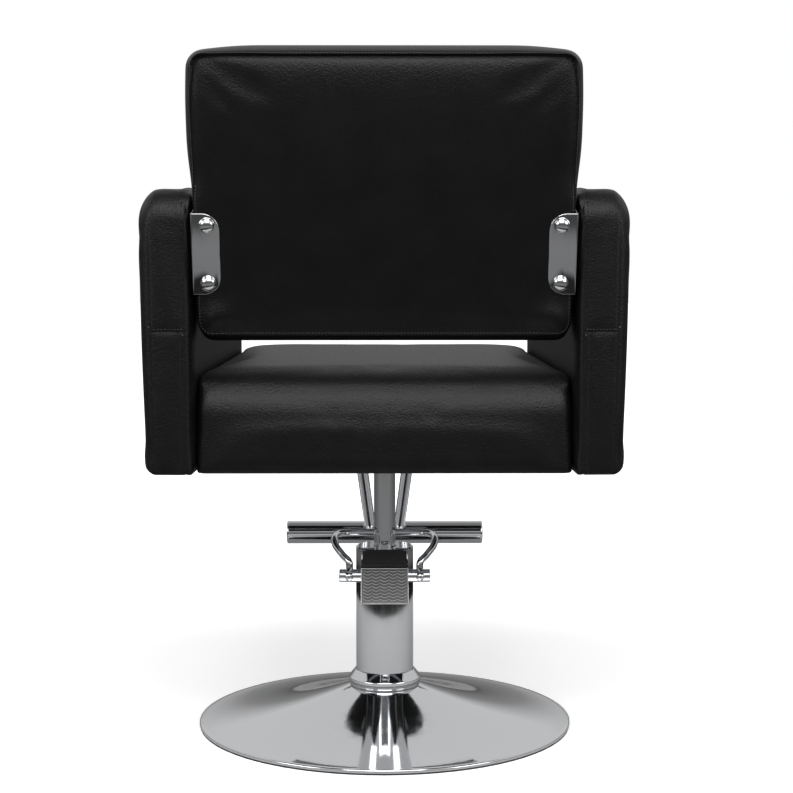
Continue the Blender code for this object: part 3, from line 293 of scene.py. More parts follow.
def makeLeatherette():
    # embossed PVC leatherette: near black, satin, a fine pebble grain that catches light, a few soft creases
    material, tree, shader = newMaterial("leatherette, black embossed", "#090909", 0.42)
    shader.inputs["IOR"].default_value = 1.52
    shader.inputs["Specular IOR Level"].default_value = 0.2
    place = addNode(tree, "TexCoord").outputs["Object"]
    warp = addNode(tree, "TexNoise", {"Scale": 1 / 0.004, "Detail": 2.0}, Vector=place)
    bent = addNode(tree, "MixRGB", {"blend_type": "LINEAR_LIGHT", "Fac": 0.0016}, Color1=place,
                   Color2=warp.outputs["Color"])
    pebble = addNode(tree, "TexVoronoi", {"feature": "SMOOTH_F1", "Scale": 1 / 0.0021, "Smoothness": 0.6},
                     Vector=bent.outputs[0])  # real grain is 1 mm, drawn at 2 mm so that it shows
    grain = pebble.outputs["Distance"]
    crease = addNode(tree, "TexNoise", {"Scale": 1 / 0.016, "Detail": 6.0, "Roughness": 0.62,
                                        "Distortion": 0.6}, Vector=place)
    line = ramp(tree, crease.outputs["Fac"], ((0.44, grey(1.0)), (0.5, grey(0.35)), (0.56, grey(1.0))))
    soft = addNode(tree, "TexNoise", {"Scale": 1 / 0.045, "Detail": 3.0}, Vector=place)
    fine = addNode(tree, "Bump", {"Strength": 0.45, "Distance": 0.0008, "invert": True}, Height=grain)
    fold = addNode(tree, "Bump", {"Strength": 0.1, "Distance": 0.0014}, Height=line, Normal=fine.outputs[0])
    tree.links.new(fold.outputs[0], shader.inputs["Normal"])
    tree.links.new(ramp(tree, soft.outputs["Fac"], ((0.3, tone("#050505")), (0.7, tone("#090909")))),
                   shader.inputs["Base Color"])
    tree.links.new(ramp(tree, grain, ((0.0, grey(0.31)), (0.6, grey(0.43)))), shader.inputs["Roughness"])
    return material


def makeThread():
    # twisted polyester thread: dull black, a shade lighter than the cover
    material, tree, shader = newMaterial("polyester thread, twisted", "#3c3c3c", 0.6)
    place = addNode(tree, "TexCoord").outputs["Object"]
    twist = addNode(tree, "TexWave", {"wave_type": "BANDS", "bands_direction": "DIAGONAL",
                                      "Scale": 1 / 0.004}, Vector=place)
    tree.links.new(ramp(tree, twist.outputs[0], ((0.0, tone("#2c2c2c")), (1.0, tone("#4a4a4a")))),
                   shader.inputs["Base Color"])
    return material


def makeLining():
    # black non-woven lining on the underside of the board: matt felt
    material, tree, shader = newMaterial("non-woven lining, black", "#111111", 0.9)
    place = addNode(tree, "TexCoord").outputs["Object"]
    felt = addNode(tree, "TexNoise", {"Scale": 1 / 0.002, "Detail": 4.0}, Vector=place).outputs["Fac"]
    tree.links.new(ramp(tree, felt, ((0.3, tone("#0e0e0e")), (0.7, tone("#191919")))),
                   shader.inputs["Base Color"])
    bump = addNode(tree, "Bump", {"Strength": 0.3, "Distance": 0.0004}, Height=felt)
    tree.links.new(bump.outputs[0], shader.inputs["Normal"])
    return material


chrome = makeChrome()
tread = makeTreadMetal()
leatherette = makeLeatherette()
thread = makeThread()
finishes = {"chrome": chrome, "steel": makeSteel(), "iron": makeIron(), "brass": makeBrass(),
            "rubber": makeRubber(), "plywood": makePlywood(), "tread": tread, "leatherette": leatherette}
for part in frame["record"]["subparts"]:
    node = bpy.data.objects[part["node"]]
    node.data.materials.clear()
    node.data.materials.append(finishes[part["material_slot"]])
bpy.data.objects["seat_board"].data.materials[0] = makeLining()
print("solids dressed")


# shared shaping

def keepPiece(bm, name, material, body, nodes=(), sharp=35):
    bmesh.ops.remove_doubles(bm, verts=bm.verts, dist=1e-6)
    bmesh.ops.recalc_face_normals(bm, faces=bm.faces)
    mesh = bpy.data.meshes.new(name)
    bm.to_mesh(mesh)
    bm.free()
    mesh.materials.append(material)
    mesh.shade_smooth()
    mesh.set_sharp_from_angle(angle=math.radians(sharp))
    piece = bpy.data.objects.new(name, mesh)
    scene.collection.objects.link(piece)
    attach(piece, body)
    if nodes:
        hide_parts(*nodes)
    return piece


def spinProfile(profile, steps, rounding=0.0, closed=False):
    bm = bmesh.new()
    verts = [bm.verts.new((radius, 0, height)) for radius, height in profile]
    edges = [bm.edges.new(pair) for pair in zip(verts, verts[1:])]
    if closed:
        edges.append(bm.edges.new((verts[-1], verts[0])))
    geom = verts + edges
    if rounding:
        corners = verts if closed else verts[1:-1]
        bmesh.ops.bevel(bm, geom=corners, offset=rounding, segments=3, profile=0.5,
                        affect="VERTICES", material=-1)
        geom = list({v for v in bm.verts if v.is_valid and not v.link_faces})
        geom += [e for e in bm.edges if not e.link_faces]
    bmesh.ops.spin(bm, geom=geom, cent=(0, 0, 0), axis=(0, 0, 1), angle=2 * math.pi, steps=steps,
                   use_merge=True)
    bmesh.ops.remove_doubles(bm, verts=bm.verts, dist=1e-6)
    return bm


def easeIn(x):
    x = min(1.0, max(0.0, x))
    return x * x * (3 - 2 * x)


def easeOut(x):
    return 1 - (1 - min(1.0, max(0.0, x))) ** 3


def aim(start, end):
    along = Vector(end) - Vector(start)
    return Matrix.Translation(start) @ Vector((0, 0, 1)).rotation_difference(along).to_matrix().to_4x4()


def placed(bm, matrix):
    bmesh.ops.transform(bm, matrix=matrix, verts=bm.verts)
    return bm


def domeLine(radius, height, step):
    angles = [math.radians(a) for a in range(0, 91, step)]
    return [(radius * math.sin(a), height * math.cos(a)) for a in angles]


# base: spun disc with a rolled rim, and the collar at the foot of the column
disc = {"radius": 0.265, "rimBottom": 0.0023, "rimTop": 0.007, "rise": 0.052, "neck": 0.0411, "power": 1.75,
        "sheet": 0.002, "lip": 0.0022, "rows": 44, "skip": 4, "steps": 180,
        "rollTop": ((0.0008, 0.0003), (0.0001, 0.0012)),  # in from the edge, down from the rim's top
        "rollFoot": ((0.0, 0.0012), (0.0006, 0.0), (0.0020, 0.0))}  # in from the edge, up from its bottom
collar = {"radius": 0.0515, "cone": 0.0105, "band": 0.0090, "foot": 0.0030, "lip": 0.0012, "gap": 0.0003,
          "bevelIn": 0.0016, "bevelUp": 0.0010, "bevelDown": 0.0008, "footIn": 0.0022, "footUp": 0.0004,
          "rounding": 0.0007, "steps": 120}


def discHeight(radius):
    share = (disc["radius"] - radius) / (disc["radius"] - disc["neck"])
    return disc["rimTop"] + disc["rise"] * share ** disc["power"]


def makeBase():
    edge, neck = disc["radius"], disc["neck"]
    width = edge - neck - disc["lip"]
    radii = [neck + width * (k / disc["rows"]) for k in range(disc["rows"] + 1)]
    outer = [(r, discHeight(r)) for r in radii]
    roll = [(edge - far, disc["rimTop"] - down) for far, down in disc["rollTop"]]
    roll += [(edge - far, disc["rimBottom"] + up) for far, up in disc["rollFoot"]]
    roll.append((edge - disc["lip"], disc["rimTop"] - disc["sheet"]))
    inner = [(r, discHeight(r) - disc["sheet"]) for r in reversed(radii[:-1:disc["skip"]])]
    shell = spinProfile(outer + roll + inner, disc["steps"], closed=True)
    keepPiece(shell, "baseDisc", chrome, "base", ["base_dome"], sharp=50)

    c, r = collar, collar["radius"]
    foot = discHeight(r) + c["gap"]
    band = foot + c["foot"]
    shoulder = band + c["band"]
    top = shoulder + c["cone"]
    profile = [(neck, top), (neck + c["lip"], top), (r - c["bevelIn"], shoulder + c["bevelUp"]),
               (r, shoulder - c["bevelDown"]), (r, band), (r - c["footIn"], foot + c["footUp"]),
               (neck, discHeight(neck) + c["gap"])]
    ring = spinProfile(profile, c["steps"], c["rounding"], True)
    keepPiece(ring, "columnCollar", chrome, "base", ["base_collar"], sharp=50)


makeBase()


# pump: polished cover with its window behind the pedal, and the flat top
pump = {"radius": 0.0408, "wall": 0.0015, "bottom": 0.0186, "middle": 0.10, "top": 0.2505, "steps": 144,
        "windowLow": 0.196, "windowHigh": 0.2358, "windowHalf": 0.0273}
cap = {"top": 0.2548, "gap": 0.0003, "edge": 0.0012, "skirt": 0.0018, "under": 0.2488, "recess": 0.0205,
       "recessTop": 0.2520, "bore": 0.01605, "mouthIn": 0.0010, "mouthDown": 0.0006, "steps": 120}
rod = {"radius": 0.01525, "bottom": 0.1212, "top": 0.3864, "steps": 96}


def makePump():
    levels = [pump["bottom"], pump["middle"], pump["windowLow"], pump["windowHigh"], pump["top"]]
    bm = spinProfile([(pump["radius"], z) for z in levels], pump["steps"])
    bmesh.ops.recalc_face_normals(bm, faces=bm.faces)
    gone = []
    for face in bm.faces:
        x, y, z = face.calc_center_median()
        if y > 0 and abs(x) < pump["windowHalf"] and pump["windowLow"] < z < pump["windowHigh"]:
            gone.append(face)
    bmesh.ops.delete(bm, geom=gone, context="FACES")
    bmesh.ops.solidify(bm, geom=bm.faces[:], thickness=pump["wall"])
    keepPiece(bm, "pumpCover", chrome, "base", ["pump_cover"])

    r, bore, top, low = pump["radius"], cap["bore"], cap["top"], pump["top"] + cap["gap"]
    skirt = r - cap["skirt"]
    profile = [(bore, top - cap["mouthDown"]), (bore + cap["mouthIn"], top), (r - cap["edge"], top),
               (r, top - cap["edge"]), (r, low), (skirt, low), (skirt, cap["under"]),
               (cap["recess"], cap["under"]), (cap["recess"], cap["recessTop"]), (bore, cap["recessTop"])]
    lid = spinProfile(profile, cap["steps"], closed=True)
    keepPiece(lid, "pumpTop", chrome, "base", ["pump_top_cap"], sharp=30)

    r, top, low = rod["radius"], rod["top"], rod["bottom"]
    bar = spinProfile([(0, top), (r, top), (r, low), (0, low)], rod["steps"])
    keepPiece(bar, "pistonRod", chrome, "chair", ["piston_rod"])


makePump()
print("base and pump made")


# footrest: round bar, plugged ends, two struts welded on
footrest = {"radius": 0.0183, "wall": 0.002, "half": 0.157, "y": -0.330, "z": 0.218, "steps": 96,
            "plug": 0.004, "plugGap": 0.0003, "plugEdge": ((0.003, 0.0), (0.001, 0.0006), (0.0, 0.0018)),
            "stem": 0.008, "stemIn": 0.0024}
strut = {"radius": 0.0088, "top": (0.0410, -0.208, 0.3864), "foot": (0.0220, -0.330, 0.218), "sink": 0.010,
         "spare": 0.004, "steps": 64,
         "weld": ((0.0026, -0.0006), (0.0012, 0.0016), (0.0, 0.0042))}  # out from the strut, out from the bar


def makeFootrest():
    f, r, lip = footrest, footrest["radius"], footrest["plug"]
    half = f["half"] - lip - f["plugGap"]
    inside = r - f["wall"]
    across = Matrix.Translation((0, f["y"], f["z"])) @ Matrix.Rotation(math.pi / 2, 4, "Y")
    tube = spinProfile([(r, half), (r, -half), (inside, -half), (inside, half)], f["steps"], closed=True)
    keepPiece(placed(tube, across), "footrestBar", chrome, "chair", ["footrest_bar"])
    stem = r - f["stemIn"]
    plug = [(0, lip)] + [(r - far, lip - down) for far, down in f["plugEdge"]]
    plug += [(r, 0), (stem, 0), (stem, -f["stem"]), (0, -f["stem"])]
    for side, word in ((1, "left"), (-1, "right")):
        end = Matrix.Translation((side * (f["half"] - lip), f["y"], f["z"]))
        turn = Matrix.Rotation(side * math.pi / 2, 4, "Y")
        stopper = placed(spinProfile(plug, f["steps"]), end @ turn)
        keepPiece(stopper, "footrestPlug_" + word, chrome, "chair", ["footrest_plug_" + word],
                  sharp=40)

        top = Vector((side * strut["top"][0],) + strut["top"][1:])
        foot = Vector((side * strut["foot"][0],) + strut["foot"][1:])
        s = strut["radius"]
        profile = [(s, strut["sink"])] + [(s + wide, r + far) for wide, far in strut["weld"]]
        profile.append((s, (top - foot).length + strut["spare"]))
        bm = placed(spinProfile(profile, strut["steps"]), aim(foot, top))
        everything = bm.verts[:] + bm.edges[:] + bm.faces[:]
        bmesh.ops.bisect_plane(bm, geom=everything, plane_co=(0, 0, strut["top"][2]), plane_no=(0, 0, 1),
                               clear_outer=True)
        bmesh.ops.holes_fill(bm, edges=[e for e in bm.edges if e.is_boundary])
        keepPiece(bm, "footrestStrut_" + word, chrome, "chair", ["footrest_strut_" + word],
                  sharp=50)


makeFootrest()
print("footrest made")


# cross pin, brake wire and the two clamp screws
brake = {"y": 0.058, "z": 0.2225, "radius": 0.009, "half": 0.0635, "chamfer": 0.0010, "steps": 72,
         "wire": 0.005, "socket": 0.0495, "halfWidth": 0.0708, "front": -0.089, "rise": 0.046, "between": 8}
screw = {"head": 0.006, "height": 0.0042, "foot": 0.0012, "drive": 0.0016, "driveDepth": 0.0012,
         "sunk": 0.0004, "steps": 48}


def makeBrake():
    middle = Matrix.Translation((0, brake["y"], brake["z"]))
    r, half, cut = brake["radius"], brake["half"], brake["chamfer"]
    pin = [(0, half), (r - cut, half), (r, half - cut), (r, -half + cut), (r - cut, -half), (0, -half)]
    bm = placed(spinProfile(pin, brake["steps"]), middle @ Matrix.Rotation(math.pi / 2, 4, "Y"))
    keepPiece(bm, "crossPin", chrome, "brake", ["cross_pin"])

    rise, front, socket, wide = brake["rise"], brake["front"], brake["socket"], brake["halfWidth"]
    corner = wide - socket
    side = [(socket, 0, 0), (socket, 0, rise * 0.40), (socket + corner * 0.40, -0.009, rise * 0.58),
            (socket + corner * 0.85, -0.021, rise * 0.80), (wide, -0.036, rise * 0.92),
            (wide, -0.055, rise * 0.98), (wide - corner * 0.22, front + 0.014, rise),
            (wide - corner * 0.75, front + 0.003, rise), (socket * 0.6, front, rise)]  # one side's bends
    points = [Vector(p) for p in side] + [Vector((-p[0], p[1], p[2])) for p in reversed(side)]
    padded = [2 * points[0] - points[1]] + points + [2 * points[-1] - points[-2]]
    path = []
    for a, b, c, d in zip(padded, padded[1:], padded[2:], padded[3:]):  # smooth line through the bends
        for k in range(brake["between"]):
            t = k / brake["between"]
            path.append(0.5 * (2 * b + (c - a) * t + (2 * a - 5 * b + 4 * c - d) * t ** 2
                               + (3 * b - a - 3 * c + d) * t ** 3))
    path.append(points[-1])
    data = bpy.data.curves.new("brakeWire", "CURVE")
    data.dimensions = "3D"
    data.bevel_depth = brake["wire"]
    data.bevel_resolution = 8
    data.use_fill_caps = True
    line = data.splines.new("POLY")
    line.points.add(len(path) - 1)
    for point, place in zip(line.points, path):
        point.co = (*(middle @ place), 1)
    line.use_smooth = True
    data.materials.append(chrome)
    wire = bpy.data.objects.new("brakeWire", data)
    scene.collection.objects.link(wire)
    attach(wire, "brake")
    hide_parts("brake_loop")

    floor = screw["height"] - screw["driveDepth"]
    profile = [(0.0, floor), (screw["drive"], floor)] + domeLine(screw["head"], screw["height"], 10)[2:]
    profile += [(screw["head"], -screw["foot"]), (0, -screw["foot"])]
    turn = Matrix.Rotation(-math.pi / 2, 4, "X")
    for sign, word in ((1, "left"), (-1, "right")):
        place = middle @ Matrix.Translation((sign * socket, r - screw["sunk"], 0)) @ turn
        keepPiece(placed(spinProfile(profile, screw["steps"]), place), "clampScrew_" + word, chrome, "brake",
                  ["clamp_screw_" + word], sharp=40)


makeBrake()
print("brake made")


# brackets between the backrest and the arms, bent from sheet, with domed bolts
lean = {"place": (0, 0.25, 0.5693), "angle": -13}
leanBack = Matrix.Translation(lean["place"]) @ Matrix.Rotation(math.radians(lean["angle"]), 4, "X")
bracket = {"outer": 0.24185, "inner": 0.20585, "low": 0.056, "high": 0.160, "corner": 0.022, "back": 0.0032,
           "sheet": 0.0025, "flange": 0.036, "bend": 0.003, "rim": 0.0005, "rimAngle": 1.2, "boltX": 0.2214,
           "bolts": (0.07075, 0.14525)}
bolt = {"head": 0.010, "height": 0.0072, "gap": 0.0004, "shank": 0.004, "length": 0.026, "steps": 64}


def makeBrackets():
    b, h, gap, shank = bracket, bolt["head"], bolt["gap"], bolt["shank"]
    profile = domeLine(h, bolt["height"], 6)
    profile += [(h - gap, -gap), (shank, -gap), (shank, -bolt["length"]), (0, -bolt["length"])]
    turn = Matrix.Rotation(-math.pi / 2, 4, "X")
    y = b["back"] + b["sheet"] / 2
    outline = ((b["outer"], b["low"]), (b["inner"], b["low"]),
               (b["inner"], b["high"]), (b["outer"], b["high"]))
    for sign, word in ((1, "left"), (-1, "right")):
        bm = bmesh.new()
        verts = [bm.verts.new((sign * x, y, z)) for x, z in outline]
        bm.faces.new(verts)
        bmesh.ops.bevel(bm, geom=[verts[1], verts[2]], offset=b["corner"], segments=10, profile=0.5,
                        affect="VERTICES", material=-1)
        bend = [e for e in bm.edges if all(abs(abs(v.co.x) - b["outer"]) < 1e-6 for v in e.verts)]
        made = bmesh.ops.extrude_edge_only(bm, edges=bend)
        ends = [v for v in made["geom"] if isinstance(v, bmesh.types.BMVert)]
        bmesh.ops.translate(bm, verts=ends, vec=(0, -b["flange"] - b["back"], 0))
        bend = [e for e in bm.edges if len(e.link_faces) == 2]
        bmesh.ops.bevel(bm, geom=bend, offset=b["bend"], segments=5, profile=0.5, affect="EDGES", material=-1)
        bmesh.ops.recalc_face_normals(bm, faces=bm.faces)
        bmesh.ops.solidify(bm, geom=bm.faces[:], thickness=b["sheet"])
        placed(bm, Matrix.Translation((0, b["sheet"] / 2, 0)))
        rims = [e for e in bm.edges if e.calc_face_angle(0) > b["rimAngle"]]
        bmesh.ops.bevel(bm, geom=rims, offset=b["rim"], segments=2, profile=0.5, affect="EDGES", material=-1)
        placed(bm, leanBack)
        keepPiece(bm, "bracket_plate_" + word, chrome, "chair", ["bracket_" + word], sharp=50)
        for level, z in zip(("lower", "upper"), b["bolts"]):
            spot = Matrix.Translation((sign * b["boltX"], b["back"] + b["sheet"] + gap, z))
            fastener = placed(spinProfile(profile, bolt["steps"]), leanBack @ spot @ turn)
            keepPiece(fastener, "bracketBolt_%s_%s" % (word, level), chrome, "chair",
                      ["bracket_bolt_%s_%s" % (word, level)], sharp=50)


makeBrackets()
print("brackets made")


# pedal: bent channel with eased edges, and its embossed tread plate
pedal = {"pinY": 0.058, "pinZ": 0.2225, "top": (0.0505, 0.0205), "foot": (0.0763, -0.0264), "edge": 0.0004,
         "edgeAngle": 32, "half": 0.0322, "length": 0.0505, "thick": 0.0020, "gap": 0.0003, "rim": 0.0007,
         "border": 0.002, "rowPitch": 0.0046, "scallop": 0.0116, "lift": 0.0024, "relief": 0.0006,
         "ridgeFrom": 0.42, "ridgeRise": 0.4, "columns": 96, "rows": 76}


def makePedal():
    p = pedal
    bm = bmesh.new()
    source = bpy.data.objects["pump_pedal"]
    bm.from_mesh(source.data)
    placed(bm, source.matrix_world)
    bmesh.ops.remove_doubles(bm, verts=bm.verts, dist=1e-6)
    bmesh.ops.dissolve_limit(bm, angle_limit=math.radians(0.5), verts=bm.verts, edges=bm.edges)
    sharp = math.radians(p["edgeAngle"])
    edges = [e for e in bm.edges if len(e.link_faces) == 2 and e.calc_face_angle(0) > sharp]
    bmesh.ops.bevel(bm, geom=edges, offset=p["edge"], affect="EDGES", segments=2, profile=0.5, material=-1,
                    clamp_overlap=True)
    keepPiece(bm, "pumpPedal", chrome, "pedal", ["pump_pedal"], sharp=30)

    bm = bmesh.new()
    plate = Matrix.Diagonal((p["half"], p["length"] / 2, 1, 1))
    bmesh.ops.create_grid(bm, x_segments=p["columns"], y_segments=p["rows"], size=1.0, matrix=plate)
    for vert in bm.verts:
        x, y = vert.co.x, vert.co.y
        edge = min(p["half"] - abs(x), p["length"] / 2 - abs(y))
        row = (y + p["lift"] * abs(math.cos(math.pi * x / p["scallop"]))) / p["rowPitch"]  # scalloped ridges
        wave = abs(2 * (row - math.floor(row)) - 1)
        ridge = easeIn((wave - p["ridgeFrom"]) / p["ridgeRise"])
        inside = easeIn((edge - p["border"]) / p["border"])
        vert.co.z = p["thick"] - p["relief"] + p["relief"] * ridge * inside
        if edge < p["rim"]:
            vert.co.z = p["thick"]
    rims = [e for e in bm.edges if e.is_boundary]
    walls = bmesh.ops.extrude_edge_only(bm, edges=rims)["geom"]
    for vert in walls:
        if isinstance(vert, bmesh.types.BMVert):
            vert.co.z = 0.0
    bmesh.ops.holes_fill(bm, edges=[e for e in bm.edges if e.is_boundary], sides=0)
    bmesh.ops.recalc_face_normals(bm, faces=bm.faces)
    top, foot = Vector((0, *p["top"])), Vector((0, *p["foot"]))
    across = Vector((-1, 0, 0))
    up = (top - foot).normalized()
    out = across.cross(up)
    turn = Matrix((across, up, out)).transposed().to_4x4()
    middle = Vector((0, p["pinY"], p["pinZ"])) + (top + foot) / 2 + out * p["gap"]
    placed(bm, Matrix.Translation(middle) @ turn)
    keepPiece(bm, "pedalTread", tread, "pedal", ["pedal_tread"], sharp=40)


makePedal()
print("pedal made")


# padded shapes: a box cut into a close grid, edges rounded, faces crowned, then blown up a little as cloth
cover = {"quality": 4, "mass": 0.4, "tension_stiffness": 30, "compression_stiffness": 30,
         "shear_stiffness": 20, "bending_stiffness": 2, "use_pressure": True}
blow = {"frames": 18, "inward": 0.3}
grid = {"margin": 0.0028, "clear": 0.0018, "seamClear": 1.7, "tight": (0.0018, 0.0042)}
stitch = {"pitch": 0.0042, "size": (0.0014, 0.0005, 0.0004),
          "knotPitch": 0.0018, "knot": (0.0012, 0.0009, 0.0007)}


def spaced(low, high, step, seams=(), margin=grid["margin"], tight=()):
    count = max(2, round((high - low) / step))
    lines = [low + (high - low) * k / count for k in range(1, count)]
    lines = [p for p in lines if all(abs(p - s) > grid["clear"] for s in tight)]
    lines += tight  # closer lines beside a tight edge
    lines = [p for p in lines if all(abs(p - s) > grid["seamClear"] * margin for s in seams)]
    for s in seams:
        lines += [p for p in (s - margin, s, s + margin) if low + 1e-4 < p < high - 1e-4]
    return sorted(lines)


def gridBox(low, high, lines):
    bm = bmesh.new()
    size = Vector(high) - Vector(low)
    middle = (Vector(high) + Vector(low)) / 2
    bmesh.ops.create_cube(bm, size=1.0, matrix=Matrix.Translation(middle) @ Matrix.Diagonal((*size, 1)))
    for axis in range(3):
        side = Vector([axis == 0, axis == 1, axis == 2])
        for place in lines[axis]:
            everything = bm.verts[:] + bm.edges[:] + bm.faces[:]
            bmesh.ops.bisect_plane(bm, geom=everything, plane_co=side * place, plane_no=side)
    return bm


def roundOff(a, b, radius):
    if a >= radius or b >= radius:
        return a, b
    depth = min(a, b)
    angle = ((b - a) / (radius - depth) + 1) * math.pi / 4  # along the corner, bent onto an arc
    reach = radius - depth
    return radius - reach * math.sin(angle), radius - reach * math.cos(angle)


def roundCorner(gaps, radii):
    # three edges that meet, bent onto one egg-shaped corner
    turn = [max(0.0, 1 - gap / radius) for gap, radius in zip(gaps, radii)]
    length = math.sqrt(sum(t * t for t in turn))
    if length < 1e-9:
        return gaps
    fit = max(turn) / length
    return [radius * (1 - t * fit) if t > 0 else gap for gap, radius, t in zip(gaps, radii, turn)]


def swell(bm, held, pressure, limit):
    # cloth blown up from inside; held is 1 where the cover is fastened, limit is the most that a point moves
    mesh = bpy.data.meshes.new("swelling")
    bm.to_mesh(mesh)
    blown = bpy.data.objects.new("swelling", mesh)
    scene.collection.objects.link(blown)
    group = blown.vertex_groups.new(name="held")
    for index, weight in enumerate(held):
        group.add([index], weight, "REPLACE")
    cloth = blown.modifiers.new("cloth", "CLOTH")
    for key, value in cover.items():
        setattr(cloth.settings, key, value)
    cloth.settings.uniform_pressure_force = pressure
    cloth.settings.vertex_group_mass = "held"
    cloth.settings.effector_weights.gravity = 0
    cloth.point_cache.frame_start = 1
    cloth.point_cache.frame_end = blow["frames"]
    for step in range(1, blow["frames"] + 1):
        scene.frame_set(step)
    shaped = blown.evaluated_get(bpy.context.evaluated_depsgraph_get()).to_mesh()
    moved = [v.co.copy() for v in shaped.vertices]
    bpy.data.objects.remove(blown)
    scene.frame_set(1)
    for vert, place in zip(mesh.vertices, moved):
        step = place - vert.co
        if step.dot(vert.normal) < 0:
            step *= blow["inward"]  # the foam behind the cover holds it out
        if step.length > limit:
            step *= limit / step.length
        vert.co += step
    return mesh


def keepPad(mesh, name, matrix, body, nodes):
    bm = bmesh.new()
    bm.from_mesh(mesh)
    placed(bm, matrix)
    bmesh.ops.recalc_face_normals(bm, faces=bm.faces)
    pad = keepPiece(bm, name, leatherette, body, nodes, sharp=180)
    smooth = pad.modifiers.new("smooth", "SUBSURF")
    smooth.levels = 1
    smooth.render_levels = 1
    return pad


def stitchRow(bm, tree, path, pitch, size):
    # one small flattened bead for each stitch, laid on the pad's own surface
    length = 0.0
    due = pitch / 2
    for start, end in zip(path, path[1:]):
        span = (end - start).length
        while due <= length + span:
            point = start.lerp(end, (due - length) / span)
            spot, normal = tree.find_nearest(point)[:2]
            along = (end - start).normalized()
            along = (along - normal * along.dot(normal)).normalized()
            turn = Matrix((along, normal.cross(along), normal)).transposed().to_4x4()
            bead = Matrix.Translation(spot) @ turn @ Matrix.Diagonal((*size, 1))
            bmesh.ops.create_icosphere(bm, subdivisions=1, radius=1.0, matrix=bead)
            due += pitch
        length += span


def surfaceOf(pad):
    solid = pad.evaluated_get(bpy.context.evaluated_depsgraph_get())
    bm = bmesh.new()
    bm.from_mesh(solid.to_mesh())
    return BVHTree.FromBMesh(bm)


# arms: box panels, with a boxing band between two seams and a cross seam low on the rear
arm = {"inner": 0.2445, "rear": 0.27, "bottom": 0.392, "thick": 0.0702, "foot": 0.0631, "depth": 0.54,
       "height": 0.365, "toeIn": 2.4, "step": 0.0068, "seamIn": 0.0100, "seamOut": 0.0532,
       "seamMargin": 0.0022, "crossSeam": 0.184, "tuckSeam": 0.0165, "tuckFrom": 0.004, "groove": 0.0013,
       "topEdge": 0.042, "topReach": 0.027, "topFade": 0.08, "endEdge": 0.016, "footEdge": 0.014,
       "corner": 0.042, "heel": 0.005, "innerEdge": 0.010, "innerFoot": 0.004, "innerFade": 0.06,
       "fastened": 0.001, "pressure": 3.0, "limit": 0.0022, "fill": 0.9}
armThread = {"out": 0.002, "up": 0.0022, "points": 10, "narrow": 0.97, "knotLength": 0.002,
             "knotIn": (-0.0005, -0.0052), "knotOut": (0.0008, 0.0045)}  # from each seam, from the cross seam


def armShape():
    a = arm
    seams = (a["seamIn"], a["seamOut"], a["tuckSeam"])
    across = spaced(0, a["thick"], a["step"], seams, a["seamMargin"], grid["tight"])
    along = spaced(-a["depth"], 0, a["step"])
    upward = spaced(0, a["height"], a["step"], (a["crossSeam"],), tight=grid["tight"])
    bm = gridBox((0, -a["depth"], 0), (a["thick"], 0, a["height"]), (across, along, upward))
    held = []
    for vert in bm.verts:
        x, y, z = vert.co
        onRear = y > -1e-4
        onEnd = onRear or y < -a["depth"] + 1e-4
        onSeam = abs(x - a["seamIn"]) < 1e-4 and (onEnd or z < 1e-4 or z > a["height"] - 1e-4)
        onSeam = onSeam or (abs(x - a["seamOut"]) < 1e-4 and onEnd and z < a["height"] - a["corner"])
        onCross = abs(z - a["crossSeam"]) < 1e-4 and onRear and a["seamIn"] < x < a["seamOut"]
        onTuck = abs(x - a["tuckSeam"]) < 1e-4 and onRear and a["tuckFrom"] < z < a["crossSeam"]
        sewn = onSeam or onCross or onTuck
        nearRear = y > -a["depth"] / 2
        back = -y if nearRear else a["depth"] + y
        up = z > a["height"] / 2
        level = a["height"] - z if up else z
        out = a["thick"] - x
        nearOut = out < x
        side = out if nearOut else x
        if sewn and level < 1e-4:
            level = a["groove"]
        elif sewn and back < 1e-4:
            back = a["groove"]
        if nearOut and up:
            near = easeIn(1 - level / a["topFade"])
            radii = (a["endEdge"] + (a["topReach"] - a["endEdge"]) * near,
                     a["endEdge"] + (a["corner"] - a["endEdge"]) * near, a["topEdge"])
            side, back, level = roundCorner((side, back, level), radii)
        elif nearOut:
            back, level = roundOff(back, level, a["heel"])
            side, level = roundOff(side, level, a["footEdge"])
            side, back = roundOff(side, back, a["endEdge"])
        else:
            upright = a["innerFoot"] + (a["innerEdge"] - a["innerFoot"]) * easeIn(z / a["innerFade"])
            back, level = roundOff(back, level, a["corner"] if up else a["heel"])
            side, level = roundOff(side, level, a["innerEdge"] if up else a["innerFoot"])
            side, back = roundOff(side, back, upright)
        x = a["thick"] - side if nearOut else side
        y = -back if nearRear else back - a["depth"]
        z = a["height"] - level if up else level
        thin = a["foot"] / a["thick"]
        vert.co = (x * (thin + (1 - thin) * z / a["height"]), y, z)
        held.append(1.0 if sewn or z < a["fastened"] else 0.0)
    return swell(bm, held, a["pressure"], a["limit"])


